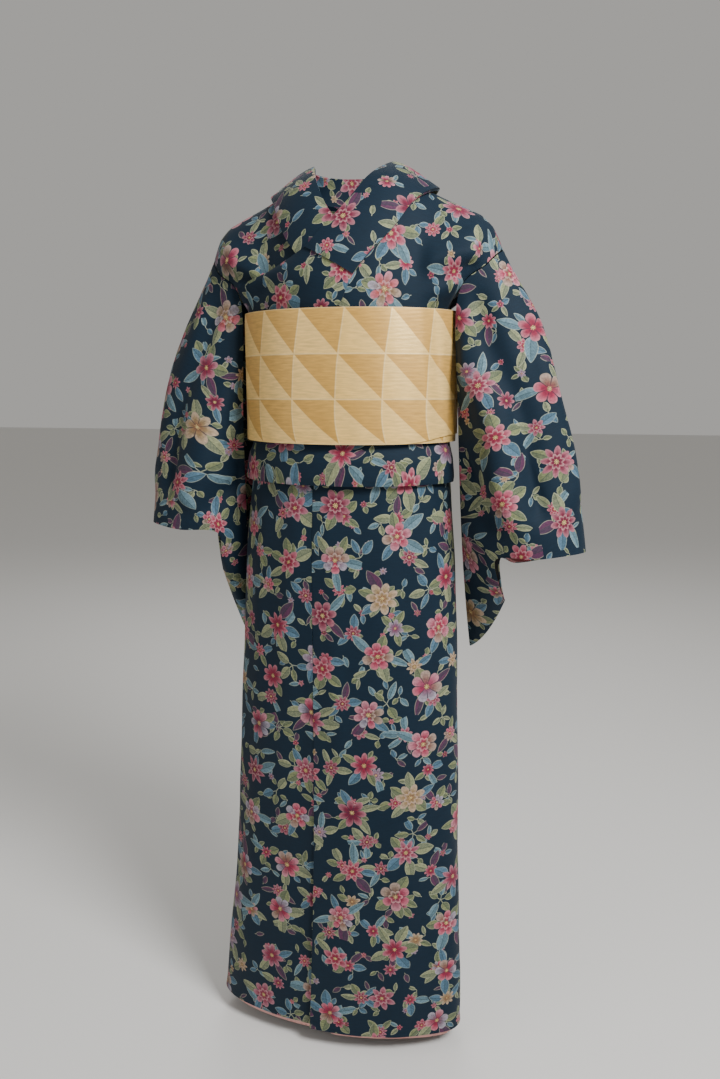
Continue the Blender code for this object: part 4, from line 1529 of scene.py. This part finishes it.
class KIMONO_OT_stage(bpy.types.Operator):
    """Set up the floor, the light and the camera"""

    bl_idname = "kimono.stage"
    bl_label = "Stage"

    def execute(self, context):
        settings = context.scene.kimono_stage
        body = bmesh.new()
        bmesh.ops.create_grid(body, x_segments=2, y_segments=2, size=settings.floor_size / 2.0)
        for vertex in body.verts:
            vertex.co.z = FLOOR
        mesh = bpy.data.meshes.new("Floor")
        body.to_mesh(mesh)
        body.free()
        floor = bpy.data.objects.new("Floor", mesh)
        context.scene.collection.objects.link(floor)
        paint, shader = surface("Floor paint", 0.85)
        shader.inputs["Base Color"].default_value = (0.70, 0.69, 0.67, 1.0)
        mesh.materials.append(paint)
        lights = (
            ("Key", (1.40, -1.05, 1.00), 0.8, settings.key_power),
            ("Fill", (-2.2, -2.2, 0.6), 2.2, settings.key_power * 0.20),
            ("Back", (-0.6, 2.4, 1.5), 1.8, settings.key_power * 0.32),
        )
        for name, place, size, power in lights:
            light = bpy.data.lights.new(name, "AREA")
            light.shape = "DISK"
            light.size = size
            light.energy = power
            lamp = bpy.data.objects.new(name, light)
            lamp.location = place
            lamp.rotation_euler = (
                Vector(LIGHT_TARGET) - Vector(place)
            ).to_track_quat("-Z", "Y").to_euler()
            context.scene.collection.objects.link(lamp)
        world = context.scene.world or bpy.data.worlds.new("World")
        context.scene.world = world
        world.use_nodes = True
        sky = world.node_tree.nodes["Background"]
        sky.inputs["Color"].default_value = (0.92, 0.90, 0.86, 1.0)
        sky.inputs["Strength"].default_value = 0.44
        view = bpy.data.cameras.new("Camera")
        view.sensor_fit = "AUTO"
        view.sensor_width = 36.0
        view.lens = settings.lens
        camera = bpy.data.objects.new("Camera", view)
        camera.location = CAMERA_PLACE
        yaw = math.radians(CAMERA_YAW)
        tilt = math.radians(CAMERA_TILT)
        aim = Vector((
            -math.sin(yaw) * math.cos(tilt), math.cos(yaw) * math.cos(tilt), -math.sin(tilt)
        ))
        camera.rotation_euler = aim.to_track_quat("-Z", "Y").to_euler()
        context.scene.collection.objects.link(camera)
        context.scene.camera = camera
        return {"FINISHED"}


class KIMONO_PT_panel(bpy.types.Panel):
    """Sizes, colours and steps of the kimono"""

    bl_idname = "KIMONO_PT_panel"
    bl_label = "Kimono"
    bl_space_type = "VIEW_3D"
    bl_region_type = "UI"
    bl_category = "Kimono"

    def draw(self, context):
        layout = self.layout
        scene = context.scene
        for settings in (scene.kimono_cloth, scene.kimono_drape, scene.kimono_stage):
            box = layout.box()
            for label in settings.__annotations__:
                box.prop(settings, label)
        for step in STEPS:
            layout.operator(step.bl_idname)


STEPS = (
    KIMONO_OT_stage,
    KIMONO_OT_skirt,
    KIMONO_OT_bodice,
    KIMONO_OT_collar,
    KIMONO_OT_sleeves,
    KIMONO_OT_linings,
    KIMONO_OT_obi,
)
SETTINGS = (
    (KimonoClothSettings, "kimono_cloth"),
    (KimonoDrapeSettings, "kimono_drape"),
    (KimonoStageSettings, "kimono_stage"),
)


def register():
    for settings, label in SETTINGS:
        bpy.utils.register_class(settings)
        setattr(bpy.types.Scene, label, PointerProperty(type=settings))
    for step in STEPS:
        bpy.utils.register_class(step)
    bpy.utils.register_class(KIMONO_PT_panel)


def unregister():
    bpy.utils.unregister_class(KIMONO_PT_panel)
    for step in reversed(STEPS):
        bpy.utils.unregister_class(step)
    for settings, label in reversed(SETTINGS):
        delattr(bpy.types.Scene, label)
        bpy.utils.unregister_class(settings)


def main():
    register()
    bpy.ops.kimono.stage()
    bpy.ops.kimono.skirt()
    bpy.ops.kimono.bodice()
    bpy.ops.kimono.collar()
    bpy.ops.kimono.sleeves()
    bpy.ops.kimono.linings()
    bpy.ops.kimono.obi()


if __name__ == "__main__":
    main()
